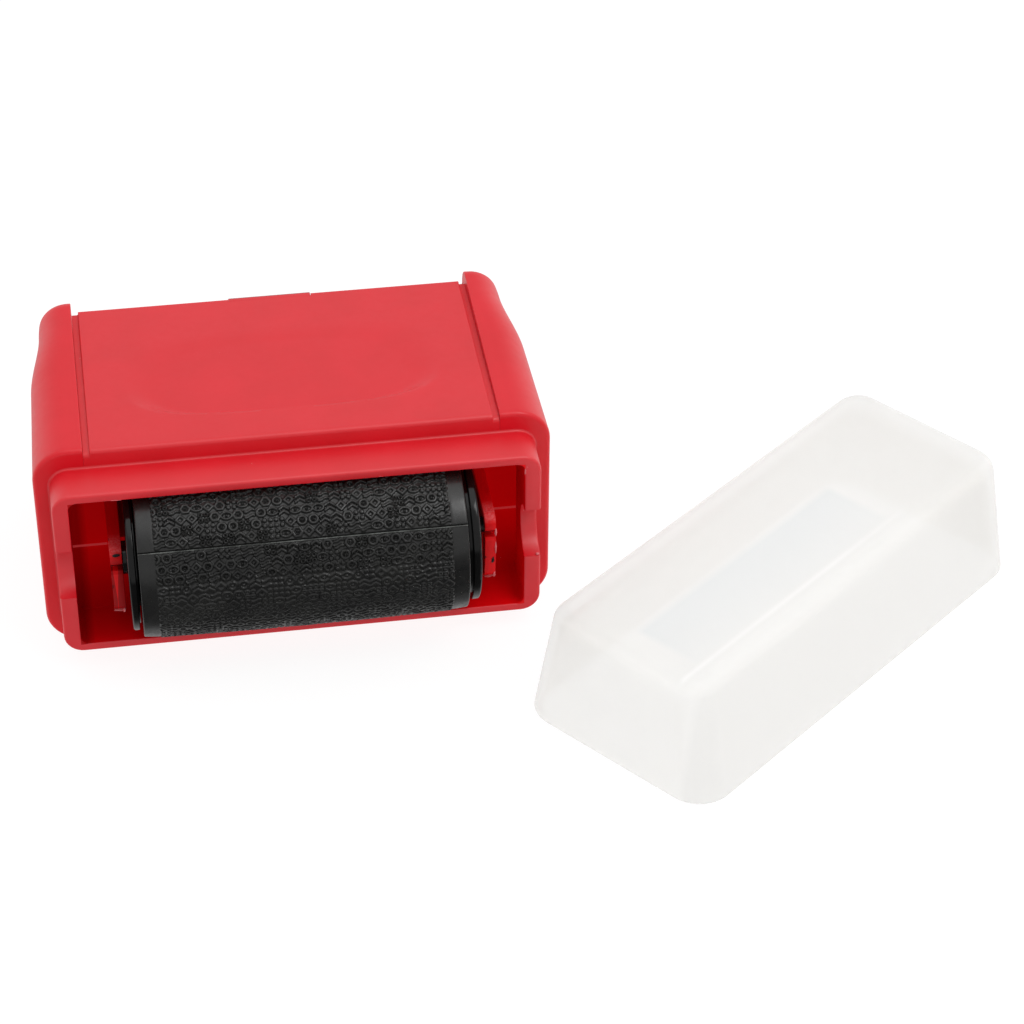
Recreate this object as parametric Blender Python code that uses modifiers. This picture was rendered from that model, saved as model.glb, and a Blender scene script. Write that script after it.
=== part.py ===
"""A privacy roller stamp with its cap lifted off beside it.

The stamp lies on its broad side. X runs along the roller's axle, Y from the mouth to the back and Z up.
Inside this file the stamp's middle is x = 0, the mouth's rim is y = 0 and the table is z = 0. The empty
stamp_set then moves everything, so that the origin is the middle of the set's footprint.
"""

import math

import bmesh
import bpy

# Housing, outside
CHEEK_WIDTH = 0.0068
CHEEK_OVERHANG = 0.0027
CHEEK_WALL = 0.0013
CHEEK_BROAD_WALL = 0.0015
CHEEK_FRONT_WALL = 0.0015
CHEEK_REAR_WALL = 0.0032
CHEEK_REAR_EASE = 0.0027
CHEEK_REAR_DRAW_IN = 0.0010
CHEEK_REAR_DROP = 0.0032
BODY_CORNER_RADIUS = 0.0048
BODY_CORNER_LOSS = 0.0010
BODY_EDGE_RADIUS = 0.0006
SHOULDER_LENGTH = 0.0135
WAIST_BEFORE_REAR_EASE = 0.0015
SHOULDER_DRAW_IN = 0.00055
WAIST_DRAW_IN = 0.00155
TAIL_DRAW_IN = 0.0003

# Handle shell
PANEL_LENGTH = 0.0331
PANEL_FRONT_DROP = 0.0002
PANEL_REAR_DROP = 0.0009
CHANNEL_WIDTH = 0.0006
CHANNEL_DEPTH = 0.0005
SHELL_SIDE_WALL = 0.0012
DIMPLE_LENGTH = 0.0432
DIMPLE_WIDTH = 0.0198
DIMPLE_DEPTH = 0.0009
DIMPLE_FROM_FRONT = 0.0066
DIMPLE_OVAL_SHARE = 0.8

# Neck and mouth
NECK_LENGTH = 0.0059
NECK_CORNER_RADIUS = 0.0026
NECK_EDGE_RADIUS = 0.0004
NECK_SIDE_WALL = 0.0022
NECK_BROAD_WALL = 0.00125
COLLAR_SIDE_STEP = 0.00215
COLLAR_BROAD_STEP = 0.00285
MOUTH_CORNER_RADIUS = 0.0015
NOTCH_RADIUS = 0.0039
NOTCH_ABOVE_MIDDLE = 0.0002
CAVITY_DEPTH = 0.0210
BACK_WALL = 0.0012

# Cartridge
ARM_THICKNESS = 0.0015
ARM_ABOVE_AXLE = 0.0028
ARM_BELOW_AXLE = 0.0080
ARM_FRONT = 0.0006
ARM_CORNER_RADIUS = 0.0015
SLOT_MOUTH = 0.0012
BRIDGE_THICKNESS = 0.0015
BRIDGE_BEHIND_INK = 0.0019
COVER_THICKNESS = 0.0015
COVER_RECESS = 0.0003
COVER_EDGE_RADIUS = 0.0004
TAB_WIDTH = 0.0108
TAB_HEIGHT = 0.0018
TAB_DEPTH = 0.0014
TAB_RISE = 0.0002
TAB_REACH = 0.0006

# Stamp roller
STAMP_AXIS_BEHIND_RIM = 0.0030
STAMP_MIDDLE_RADIUS = 0.01125
STAMP_HEADROOM = 0.00045
STAMP_CROWN = 0.0002
STAMP_BAND_RISE = 0.00025
STAMP_MARGIN_DROP = 0.00015
STAMP_MARGIN_WIDTH = 0.0022
STAMP_BAND_STEP = 0.0003
STAMP_SLEEVE_LENGTH = 0.0428
STAMP_SLEEVE_WALL = 0.0020
STAMP_CORE_WALL = 0.0015
STAMP_AXLE_RADIUS = 0.0009
FLANGE_STEP_DOWN = 0.0009
FLANGE_RIM_WIDTH = 0.0013
FLANGE_EDGE_RADIUS = 0.0003
FLANGE_PLUG_LENGTH = 0.0040
FLANGE_BOSS_LENGTH = 0.0006
FLANGE_BOSS_RADIUS = 0.0030

# Ink roller
INK_AXLE_RADIUS = 0.0010
INK_CORE_CLEARANCE = 0.0014
INK_CORE_WALL = 0.0010
INK_FELT_WALL = 0.0018
INK_FELT_SHORTER = 0.0014
INK_HUB_STEP_DOWN = 0.0007
INK_HUB_WIDTH = 0.0012
INK_PLUG_LENGTH = 0.0025
INK_BOSS_RADIUS = 0.0024

# Cap
CAP_RIM_LONGER = 0.0010
CAP_RIM_NARROWER = 0.0003
CAP_RIM_CORNER_RADIUS = 0.0049
CAP_END_TAPER = 0.00135
CAP_SIDE_TAPER = 0.0031
CAP_TOP_CORNER_RADIUS = 0.0035
CAP_HEADROOM = 0.00245
CAP_EDGE_RADIUS = 0.0020
CAP_WALL = 0.0011
CAP_DISTANCE = 0.0289
CAP_CENTRE_Y = -0.0062
CAP_TURN_DEGREES = 39.8

# Fits
SEAT_GAP = 0.0003
RUN_GAP = 0.0003
OVERRUN = 0.0020

# Facets
CORNER_STEPS = 6
EDGE_STEPS = 4
SHOULDER_STEPS = 8
TURN_STEPS = 40
SMALL_TURN_STEPS = 24
CROWN_STEPS = 8
DIMPLE_POINTS = 48
SMOOTH_ANGLE_DEGREES = 32.0

# Widths that follow, from the roller outwards
FLANGE_INNER_X = STAMP_SLEEVE_LENGTH / 2 + SEAT_GAP
FLANGE_OUTER_X = FLANGE_INNER_X + FLANGE_RIM_WIDTH
BOSS_END_X = FLANGE_OUTER_X + FLANGE_BOSS_LENGTH
ARM_INNER_X = BOSS_END_X + RUN_GAP
ARM_OUTER_X = ARM_INNER_X + ARM_THICKNESS
SHELL_INNER_HALF_WIDTH = ARM_OUTER_X + SEAT_GAP
SHELL_HALF_WIDTH = SHELL_INNER_HALF_WIDTH + SHELL_SIDE_WALL
PANEL_HALF_WIDTH = SHELL_HALF_WIDTH - CHANNEL_WIDTH
CHEEK_INNER_X = SHELL_HALF_WIDTH + SEAT_GAP
BODY_HALF_WIDTH = CHEEK_INNER_X + CHEEK_WIDTH
SHOULDER_HALF_WIDTH = BODY_HALF_WIDTH - SHOULDER_DRAW_IN
WAIST_HALF_WIDTH = SHOULDER_HALF_WIDTH - WAIST_DRAW_IN
NECK_HALF_WIDTH = BODY_HALF_WIDTH - COLLAR_SIDE_STEP
MOUTH_HALF_WIDTH = NECK_HALF_WIDTH - NECK_SIDE_WALL
STAMP_BAND_HALF_LENGTH = STAMP_SLEEVE_LENGTH / 2 - STAMP_MARGIN_WIDTH
INK_HALF_LENGTH = STAMP_SLEEVE_LENGTH / 2 - INK_FELT_SHORTER

# Heights and radii that follow
MOUTH_HALF_HEIGHT = STAMP_MIDDLE_RADIUS + STAMP_HEADROOM
NECK_HALF_HEIGHT = MOUTH_HALF_HEIGHT + NECK_BROAD_WALL
MID_HEIGHT = NECK_HALF_HEIGHT + COLLAR_BROAD_STEP
SHELL_INNER_HALF_HEIGHT = NECK_HALF_HEIGHT + SEAT_GAP
STAMP_BAND_END_RADIUS = STAMP_MIDDLE_RADIUS - STAMP_CROWN
STAMP_MARGIN_RADIUS = STAMP_BAND_END_RADIUS - STAMP_BAND_RISE
STAMP_END_RADIUS = STAMP_MARGIN_RADIUS - STAMP_MARGIN_DROP
STAMP_BORE_RADIUS = STAMP_END_RADIUS - STAMP_SLEEVE_WALL
STAMP_CORE_BORE_RADIUS = STAMP_BORE_RADIUS - SEAT_GAP - STAMP_CORE_WALL
FLANGE_RADIUS = STAMP_END_RADIUS - FLANGE_STEP_DOWN
INK_CORE_BORE_RADIUS = INK_AXLE_RADIUS + INK_CORE_CLEARANCE
INK_CORE_RADIUS = INK_CORE_BORE_RADIUS + INK_CORE_WALL
INK_BORE_RADIUS = INK_CORE_RADIUS + SEAT_GAP
INK_RADIUS = INK_BORE_RADIUS + INK_FELT_WALL

# Depths that follow
FACE_Y = NECK_LENGTH
PANEL_REAR_Y = FACE_Y + PANEL_LENGTH
CHEEK_REAR_Y = PANEL_REAR_Y + CHEEK_OVERHANG
WAIST_Y = CHEEK_REAR_Y - CHEEK_REAR_EASE - WAIST_BEFORE_REAR_EASE
SHOULDER_Y = WAIST_Y - SHOULDER_LENGTH
BACK_WALL_REAR_Y = CAVITY_DEPTH + BACK_WALL
SIDE_WALL_START_Y = BACK_WALL_REAR_Y + SEAT_GAP
COVER_REAR_Y = PANEL_REAR_Y - COVER_RECESS
COVER_FRONT_Y = COVER_REAR_Y - COVER_THICKNESS
TAB_REAR_Y = PANEL_REAR_Y + TAB_REACH
TAB_FRONT_Y = TAB_REAR_Y - TAB_DEPTH
STAMP_AXIS_Y = STAMP_AXIS_BEHIND_RIM
INK_AXIS_Y = STAMP_AXIS_Y + STAMP_MIDDLE_RADIUS + SEAT_GAP + INK_RADIUS
BRIDGE_FRONT_Y = INK_AXIS_Y + INK_RADIUS + BRIDGE_BEHIND_INK

# The cap's sizes that follow
CAP_RIM_LENGTH = 2 * BODY_HALF_WIDTH + CAP_RIM_LONGER
CAP_RIM_WIDTH = 2 * MID_HEIGHT - CAP_RIM_NARROWER
CAP_TOP_LENGTH = CAP_RIM_LENGTH - 2 * CAP_END_TAPER
CAP_TOP_WIDTH = CAP_RIM_WIDTH - 2 * CAP_SIDE_TAPER
CAP_HEIGHT = NECK_LENGTH + STAMP_MIDDLE_RADIUS - STAMP_AXIS_Y + CAP_HEADROOM + CAP_WALL
CAP_CENTRE_X = BODY_HALF_WIDTH + CAP_DISTANCE

RED = (0.72, 0.020, 0.030)
DEEP_RED = (0.62, 0.012, 0.022)
BLACK = (0.012, 0.012, 0.013)
STEEL = (0.62, 0.63, 0.65)
INK_DARK = (0.010, 0.010, 0.014)
MILKY = (0.86, 0.86, 0.85)


def clear_scene():
    """Removes what the startup scene holds."""
    for obj in list(bpy.data.objects):
        bpy.data.objects.remove(obj)


def new_collection(name):
    """A collection linked to the scene."""
    collection = bpy.data.collections.new(name)
    bpy.context.scene.collection.children.link(collection)
    return collection


def plastic(name, colour, roughness, metallic=0.0):
    """A Principled material."""
    material = bpy.data.materials.new(name)
    material.use_nodes = True
    surface = material.node_tree.nodes["Principled BSDF"]
    surface.inputs["Base Color"].default_value = (*colour, 1.0)
    surface.inputs["Roughness"].default_value = roughness
    surface.inputs["Metallic"].default_value = metallic
    return material


def finish_object(name, bm, material, collection, parent):
    """Turns a bmesh into a smooth shaded object under its parent."""
    bmesh.ops.recalc_face_normals(bm, faces=bm.faces)
    mesh = bpy.data.meshes.new(name)
    bm.to_mesh(mesh)
    bm.free()
    mesh.shade_smooth()
    mesh.set_sharp_from_angle(angle=math.radians(SMOOTH_ANGLE_DEGREES))
    obj = bpy.data.objects.new(name, mesh)
    collection.objects.link(obj)
    obj.parent = parent
    if material is not None:
        mesh.materials.append(material)
    return obj


def rounded_ring(half_width, half_height, radius, steps=CORNER_STEPS):
    """Points (u, v) round a rectangle with round corners, counter-clockwise."""
    points = []
    quarters = ((1, 1, 0.0), (-1, 1, 0.5), (-1, -1, 1.0), (1, -1, 1.5))
    for side_u, side_v, start in quarters:
        centre_u = side_u * (half_width - radius)
        centre_v = side_v * (half_height - radius)
        for step in range(steps + 1):
            angle = math.pi * (start + step / steps / 2)
            points.append((centre_u + radius * math.cos(angle), centre_v + radius * math.sin(angle)))
    return points


def loft(rings):
    """A closed bmesh through rings of points, which all have the same count."""
    bm = bmesh.new()
    rows = [[bm.verts.new(point) for point in ring] for ring in rings]
    count = len(rows[0])
    for row, following in zip(rows, rows[1:]):
        for index in range(count):
            after = (index + 1) % count
            bm.faces.new((row[index], row[after], following[after], following[index]))
    bm.faces.new(rows[0])
    bm.faces.new(rows[-1])
    return bm


def along_y(ring, y):
    """The ring's points set upright at a depth y, round the stamp's middle height."""
    return [(u, y, MID_HEIGHT + v) for u, v in ring]


def box(cutters, parent, name, low, high):
    """A box between two corners, as a cutter."""
    bm = bmesh.new()
    bmesh.ops.create_cube(bm, size=1.0)
    for vertex in bm.verts:
        vertex.co = [a + (b - a) * (c + 0.5) for a, b, c in zip(low, high, vertex.co)]
    return as_cutter(finish_object(name, bm, None, cutters, parent))


def as_cutter(obj):
    """Keeps a helper out of the render."""
    obj.hide_render = True
    obj.display_type = "WIRE"
    return obj


def boolean(obj, other, operation="DIFFERENCE"):
    """Adds an exact Boolean with another object."""
    modifier = obj.modifiers.new(operation.lower() + "_" + other.name, "BOOLEAN")
    modifier.operation = operation
    modifier.object = other
    modifier.solver = "EXACT"
    return modifier


def rod_along_x(cutters, parent, name, radius, half_length, y, z, steps=SMALL_TURN_STEPS):
    """A plain cylinder along X, as a cutter."""
    ring = [
        (y + radius * math.cos(2 * math.pi * step / steps), z + radius * math.sin(2 * math.pi * step / steps))
        for step in range(steps)
    ]
    bm = loft([[(x, u, v) for u, v in ring] for x in (-half_length, half_length)])
    return as_cutter(finish_object(name, bm, None, cutters, parent))


def turned(name, profile, material, collection, parent, steps=TURN_STEPS):
    """A solid turned about X from a closed profile of (x, radius) points."""
    bm = bmesh.new()
    points = [bm.verts.new((radius, 0, x)) for x, radius in profile]
    for point, following in zip(points, points[1:] + points[:1]):
        bm.edges.new((point, following))
    mesh = bpy.data.meshes.new(name)
    bm.to_mesh(mesh)
    bm.free()
    mesh.materials.append(material)
    obj = bpy.data.objects.new(name, mesh)
    collection.objects.link(obj)
    obj.parent = parent
    obj.rotation_euler = (0, math.pi / 2, 0)
    screw = obj.modifiers.new("turn", "SCREW")
    screw.axis = "Z"
    screw.steps = steps
    screw.render_steps = steps
    screw.use_merge_vertices = True
    screw.merge_threshold = 0.00001
    screw.use_smooth_shade = True
    return obj


def tube_profile(half_length, outer, inner):
    """A plain tube's profile, which runs down its outer side."""
    return [(half_length, outer), (-half_length, outer), (-half_length, inner), (half_length, inner)]


def quarter_inset(radius, share):
    """How far a round edge has drawn in, at a share of its radius away from where it starts."""
    return radius * (1 - math.sqrt(max(0.0, 1 - share * share)))


def cheek_half_width(y):
    """Half the width over both cheeks at a depth y: an eased shoulder between two nearly straight runs."""
    if y <= SHOULDER_Y:
        return BODY_HALF_WIDTH - SHOULDER_DRAW_IN * (y - FACE_Y) / (SHOULDER_Y - FACE_Y)
    if y <= WAIST_Y:
        share = (y - SHOULDER_Y) / SHOULDER_LENGTH
        return SHOULDER_HALF_WIDTH - WAIST_DRAW_IN * share * share * (3 - 2 * share)
    return WAIST_HALF_WIDTH - TAIL_DRAW_IN * (y - WAIST_Y) / (CHEEK_REAR_Y - WAIST_Y)


def body_corner_radius(y):
    """The corner radius of the body's outline at a depth y."""
    return BODY_CORNER_RADIUS - BODY_CORNER_LOSS * (y - FACE_Y) / (CHEEK_REAR_Y - FACE_Y)


def body_stations():
    """Depths, each with how far the front and the rear edges have drawn in there."""
    stations = []
    for step in range(EDGE_STEPS + 1):
        share = 1 - step / EDGE_STEPS
        stations.append((FACE_Y + BODY_EDGE_RADIUS * (1 - share), quarter_inset(BODY_EDGE_RADIUS, share), 0))
    for step in range(SHOULDER_STEPS + 1):
        stations.append((SHOULDER_Y + SHOULDER_LENGTH * step / SHOULDER_STEPS, 0, 0))
    for step in range(EDGE_STEPS + 2):
        share = math.sin(math.pi / 2 * step / (EDGE_STEPS + 1))
        y = CHEEK_REAR_Y - CHEEK_REAR_EASE * (1 - share)
        stations.append((y, 0, quarter_inset(1, share)))
    return stations


def body_form(wall_side, wall_broad, front_y, rear_y):
    """The rounded outer form over both cheeks, drawn in by its walls and cut to a stretch of depth."""
    rings = []
    inside = wall_side > 0
    stations = body_stations()
    if inside:
        inner = [y for y, front, _ in stations if front_y < y < rear_y and not front]
        stations = [(y, 0, 0) for y in [front_y, *inner, rear_y]]
    for y, front, rear in stations:
        half_width = cheek_half_width(y) - front - rear * CHEEK_REAR_DRAW_IN - wall_side
        half_height = MID_HEIGHT - front - rear * CHEEK_REAR_DROP - wall_broad
        radius = body_corner_radius(y) - front - wall_side
        rings.append(along_y(rounded_ring(half_width, half_height, radius), y))
    return loft(rings)


def make_cheek(name, side, parts, cutters, root, material):
    """One end moulding: the outer form's end, hollow, and open towards the middle and round the neck."""
    cheek = finish_object(name, body_form(0, 0, FACE_Y, CHEEK_REAR_Y), material, parts, root)
    near, far = sorted((side * CHEEK_INNER_X, 2 * side * BODY_HALF_WIDTH))
    low = (near, FACE_Y - OVERRUN, -OVERRUN)
    high = (far, CHEEK_REAR_Y + OVERRUN, 2 * MID_HEIGHT + OVERRUN)
    boolean(cheek, box(cutters, root, name + "_end", low, high), "INTERSECT")
    inner_front = FACE_Y + CHEEK_FRONT_WALL
    hollow = body_form(CHEEK_WALL, CHEEK_BROAD_WALL, inner_front, CHEEK_REAR_Y - CHEEK_REAR_WALL)
    boolean(cheek, as_cutter(finish_object(name + "_hollow", hollow, None, cutters, root)))
    half_width = NECK_HALF_WIDTH + SEAT_GAP
    half_height = NECK_HALF_HEIGHT + SEAT_GAP
    ring = rounded_ring(half_width, half_height, NECK_CORNER_RADIUS + SEAT_GAP)
    neck_hole = loft([along_y(ring, end) for end in (FACE_Y - OVERRUN, inner_front + OVERRUN)])
    boolean(cheek, as_cutter(finish_object(name + "_neck_hole", neck_hole, None, cutters, root)))
    return cheek


def panel_ring(half_thickness):
    """The shell's outline: a broad panel above and below, each with a lower channel at both ends."""
    panel = PANEL_HALF_WIDTH
    low = half_thickness - CHANNEL_DEPTH
    upper = [
        (SHELL_HALF_WIDTH, low),
        (panel, low),
        (panel, half_thickness),
        (-panel, half_thickness),
        (-panel, low),
        (-SHELL_HALF_WIDTH, low),
    ]
    return upper + [(-u, -v) for u, v in upper]


def panel_half_thickness(y):
    """Half the thickness over the two panels at a depth y."""
    share = (y - FACE_Y) / PANEL_LENGTH
    return MID_HEIGHT - PANEL_FRONT_DROP - (PANEL_REAR_DROP - PANEL_FRONT_DROP) * share


def dimple_cutter(name, cutters, root, side):
    """A shallow oval pocket, deepest at its front edge and running out towards the back."""
    front = FACE_Y + DIMPLE_FROM_FRONT
    middle = front + DIMPLE_WIDTH / 2
    ring = []
    for index in range(DIMPLE_POINTS):
        angle = 2 * math.pi * index / DIMPLE_POINTS
        across = math.copysign(abs(math.cos(angle)) ** DIMPLE_OVAL_SHARE, math.cos(angle))
        along = math.copysign(abs(math.sin(angle)) ** DIMPLE_OVAL_SHARE, math.sin(angle))
        ring.append((across * DIMPLE_LENGTH / 2, middle + along * DIMPLE_WIDTH / 2))
    floor = []
    lid = []
    for x, y in ring:
        share = (y - front) / DIMPLE_WIDTH
        height = panel_half_thickness(y)
        floor.append((x, y, MID_HEIGHT + side * (height - DIMPLE_DEPTH * (1 - share))))
        lid.append((x, y, MID_HEIGHT + side * (height + OVERRUN)))
    return as_cutter(finish_object(name, loft([floor, lid]), None, cutters, root))


def make_handle_shell(parts, cutters, root, material):
    """The middle moulding: two panels, joined by side walls behind the mouth."""
    rings = []
    for step in range(EDGE_STEPS + 1):
        share = 1 - step / EDGE_STEPS
        y = FACE_Y + BODY_EDGE_RADIUS * (1 - share)
        rings.append((y, panel_half_thickness(y) - quarter_inset(BODY_EDGE_RADIUS, share)))
    rings.append((PANEL_REAR_Y, panel_half_thickness(PANEL_REAR_Y)))
    form = loft([along_y(panel_ring(half), y) for y, half in rings])
    shell = finish_object("handle_shell", form, material, parts, root)
    low = MID_HEIGHT - SHELL_INNER_HALF_HEIGHT
    high = MID_HEIGHT + SHELL_INNER_HALF_HEIGHT
    wide = SHELL_HALF_WIDTH + OVERRUN
    front_low = (-wide, FACE_Y - OVERRUN, low)
    boolean(shell, box(cutters, root, "shell_front_space", front_low, (wide, SIDE_WALL_START_Y, high)))
    inner = SHELL_INNER_HALF_WIDTH
    bay_low = (-inner, SIDE_WALL_START_Y - OVERRUN, low)
    boolean(shell, box(cutters, root, "shell_bay", bay_low, (inner, PANEL_REAR_Y + OVERRUN, high)))
    half_notch = TAB_WIDTH / 2 + SEAT_GAP
    notch = box(
        cutters,
        root,
        "tab_notch",
        (-half_notch, TAB_FRONT_Y - SEAT_GAP, high - OVERRUN),
        (half_notch, PANEL_REAR_Y + OVERRUN, 2 * MID_HEIGHT + OVERRUN),
    )
    boolean(shell, notch)
    for name, side in (("upper_dimple", 1), ("lower_dimple", -1)):
        boolean(shell, dimple_cutter(name, cutters, root, side))
    return shell


def make_mouth_frame(parts, cutters, root, material):
    """The neck with its mouth, the floor and ceiling behind it and the back wall round the cartridge."""
    rings = []
    for step in range(EDGE_STEPS + 1):
        share = 1 - step / EDGE_STEPS
        inset = quarter_inset(NECK_EDGE_RADIUS, share)
        ring = rounded_ring(NECK_HALF_WIDTH - inset, NECK_HALF_HEIGHT - inset, NECK_CORNER_RADIUS - inset)
        rings.append(along_y(ring, NECK_EDGE_RADIUS * (1 - share)))
    rings.append(along_y(ring, BACK_WALL_REAR_Y))
    frame = finish_object("mouth_frame", loft(rings), material, parts, root)
    mouth_end = FACE_Y + CHEEK_FRONT_WALL
    mouth_ring = rounded_ring(MOUTH_HALF_WIDTH, MOUTH_HALF_HEIGHT, MOUTH_CORNER_RADIUS)
    mouth = loft([along_y(mouth_ring, end) for end in (-OVERRUN, mouth_end + OVERRUN)])
    boolean(frame, as_cutter(finish_object("mouth_space", mouth, None, cutters, root)))
    low = MID_HEIGHT - MOUTH_HALF_HEIGHT
    high = MID_HEIGHT + MOUTH_HALF_HEIGHT
    wide = NECK_HALF_WIDTH + OVERRUN
    boolean(frame, box(cutters, root, "side_space", (-wide, mouth_end, low), (wide, CAVITY_DEPTH, high)))
    inner = SHELL_INNER_HALF_WIDTH
    window_low = (-inner, CAVITY_DEPTH - OVERRUN, low)
    window_high = (inner, BACK_WALL_REAR_Y + OVERRUN, high)
    boolean(frame, box(cutters, root, "cartridge_window", window_low, window_high))
    notch_z = MID_HEIGHT + NOTCH_ABOVE_MIDDLE
    boolean(frame, rod_along_x(cutters, root, "rim_notches", NOTCH_RADIUS, wide, 0, notch_z, TURN_STEPS))
    return frame


def arm_outline():
    """The side view of one arm as (y, z) points, round at its two front corners."""
    radius = ARM_CORNER_RADIUS
    top = MID_HEIGHT + ARM_ABOVE_AXLE
    bottom = MID_HEIGHT - ARM_BELOW_AXLE
    rear = COVER_FRONT_Y - SEAT_GAP
    points = [(rear, bottom), (rear, top)]
    for centre_z, start in ((top - radius, 0.5), (bottom + radius, 1.0)):
        for step in range(CORNER_STEPS + 1):
            angle = math.pi * (start + step / CORNER_STEPS / 2)
            y = ARM_FRONT + radius + radius * math.cos(angle)
            points.append((y, centre_z + radius * math.sin(angle)))
    return points


def make_cartridge_frame(parts, cutters, carrier, material):
    """Two arms with an open snap slot and a hole each, joined by a bridge behind the ink roller."""
    outline = arm_outline()
    form = loft([[(x, y, z) for y, z in outline] for x in (-ARM_OUTER_X, ARM_OUTER_X)])
    frame = finish_object("cartridge_frame", form, material, parts, carrier)
    inner = ARM_INNER_X
    bottom = MID_HEIGHT - ARM_BELOW_AXLE - OVERRUN
    top = MID_HEIGHT + ARM_ABOVE_AXLE + OVERRUN
    front_low = (-inner, ARM_FRONT - OVERRUN, bottom)
    boolean(frame, box(cutters, carrier, "roller_space", front_low, (inner, BRIDGE_FRONT_Y, top)))
    rear_low = (-inner, BRIDGE_FRONT_Y + BRIDGE_THICKNESS, bottom)
    boolean(frame, box(cutters, carrier, "rear_space", rear_low, (inner, COVER_FRONT_Y + OVERRUN, top)))
    long = ARM_OUTER_X + OVERRUN
    seat = STAMP_AXLE_RADIUS + SEAT_GAP
    boolean(frame, rod_along_x(cutters, carrier, "stamp_axle_seat", seat, long, STAMP_AXIS_Y, MID_HEIGHT))
    mouth = box(
        cutters,
        carrier,
        "slot_mouth",
        (-long, ARM_FRONT - OVERRUN, MID_HEIGHT - SLOT_MOUTH / 2),
        (long, STAMP_AXIS_Y, MID_HEIGHT + SLOT_MOUTH / 2),
    )
    boolean(frame, mouth)
    hole = INK_AXLE_RADIUS + SEAT_GAP
    boolean(frame, rod_along_x(cutters, carrier, "ink_axle_hole", hole, long, INK_AXIS_Y, MID_HEIGHT))
    return frame


def make_rear_cover(parts, cutters, carrier, material):
    """The plate that closes the back, with the centred tab that lies in the upper panel's notch."""
    half_width = SHELL_INNER_HALF_WIDTH - SEAT_GAP
    half_height = SHELL_INNER_HALF_HEIGHT - SEAT_GAP
    rings = []
    edge = COVER_EDGE_RADIUS
    for y, inset in ((COVER_FRONT_Y, 0), (COVER_REAR_Y - edge, 0), (COVER_REAR_Y, edge)):
        rings.append(along_y(rounded_ring(half_width - inset, half_height - inset, BODY_EDGE_RADIUS), y))
    cover = finish_object("rear_cover", loft(rings), material, parts, carrier)
    tab_top = MID_HEIGHT + panel_half_thickness(PANEL_REAR_Y) + TAB_RISE
    tab = box(
        cutters,
        carrier,
        "tab_block",
        (-TAB_WIDTH / 2, TAB_FRONT_Y, MID_HEIGHT + half_height - TAB_HEIGHT),
        (TAB_WIDTH / 2, TAB_REAR_Y, tab_top),
    )
    boolean(cover, tab, "UNION")
    return cover


def make_stamp_sleeve(parts, spindle, material):
    """The rubber sheet on the roller: smooth margins, a raised band and a slight crown."""
    half = STAMP_SLEEVE_LENGTH / 2
    band = STAMP_BAND_HALF_LENGTH
    outer = [(half, STAMP_END_RADIUS), (band + STAMP_BAND_STEP, STAMP_MARGIN_RADIUS)]
    for step in range(CROWN_STEPS + 1):
        share = 1 - 2 * step / CROWN_STEPS
        outer.append((band * share, STAMP_BAND_END_RADIUS + STAMP_CROWN * (1 - share * share)))
    outer += [(-band - STAMP_BAND_STEP, STAMP_MARGIN_RADIUS), (-half, STAMP_END_RADIUS)]
    bore = STAMP_BORE_RADIUS
    return turned("stamp_sleeve", outer + [(-half, bore), (half, bore)], material, parts, spindle)


def make_stamp_core(parts, spindle, material):
    """The barrel under the rubber."""
    outer = STAMP_BORE_RADIUS - SEAT_GAP
    profile = tube_profile(STAMP_SLEEVE_LENGTH / 2, outer, STAMP_CORE_BORE_RADIUS)
    return turned("stamp_core", profile, material, parts, spindle)


def make_stamp_flange(name, side, parts, spindle, material):
    """An end disc beside the rubber, with a plug inside the barrel and a boss towards the arm."""
    plug = STAMP_CORE_BORE_RADIUS - SEAT_GAP
    bore = STAMP_AXLE_RADIUS + RUN_GAP
    edge = FLANGE_EDGE_RADIUS
    profile = [
        (BOSS_END_X, bore),
        (BOSS_END_X, FLANGE_BOSS_RADIUS),
        (FLANGE_OUTER_X, FLANGE_BOSS_RADIUS),
        (FLANGE_OUTER_X, FLANGE_RADIUS - edge),
        (FLANGE_OUTER_X - edge, FLANGE_RADIUS),
        (FLANGE_INNER_X, FLANGE_RADIUS),
        (FLANGE_INNER_X, plug),
        (FLANGE_INNER_X - FLANGE_PLUG_LENGTH, plug),
        (FLANGE_INNER_X - FLANGE_PLUG_LENGTH, bore),
    ]
    if side < 0:
        profile = [(-x, radius) for x, radius in reversed(profile)]
    return turned(name, profile, material, parts, spindle)


def make_ink_hub(name, side, parts, spindle, material):
    """An end hub of the ink roller, with a plug inside the barrel and a boss towards the arm."""
    inner_x = INK_HALF_LENGTH + SEAT_GAP
    disc_end = inner_x + INK_HUB_WIDTH
    disc = INK_RADIUS - INK_HUB_STEP_DOWN
    plug = INK_CORE_BORE_RADIUS - SEAT_GAP
    bore = INK_AXLE_RADIUS + RUN_GAP
    profile = [
        (BOSS_END_X, bore),
        (BOSS_END_X, INK_BOSS_RADIUS),
        (disc_end, INK_BOSS_RADIUS),
        (disc_end, disc),
        (inner_x, disc),
        (inner_x, plug),
        (inner_x - INK_PLUG_LENGTH, plug),
        (inner_x - INK_PLUG_LENGTH, bore),
    ]
    if side < 0:
        profile = [(-x, radius) for x, radius in reversed(profile)]
    return turned(name, profile, material, parts, spindle, SMALL_TURN_STEPS)


def make_ink_roller(parts, spindle, felt_material, core_material):
    """The felt, its barrel and its two hubs."""
    felt = tube_profile(INK_HALF_LENGTH, INK_RADIUS, INK_BORE_RADIUS)
    core = tube_profile(INK_HALF_LENGTH, INK_CORE_RADIUS, INK_CORE_BORE_RADIUS)
    turned("ink_felt", felt, felt_material, parts, spindle, SMALL_TURN_STEPS)
    turned("ink_core", core, core_material, parts, spindle, SMALL_TURN_STEPS)
    make_ink_hub("ink_hub_left", -1, parts, spindle, core_material)
    make_ink_hub("ink_hub_right", 1, parts, spindle, core_material)


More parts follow.
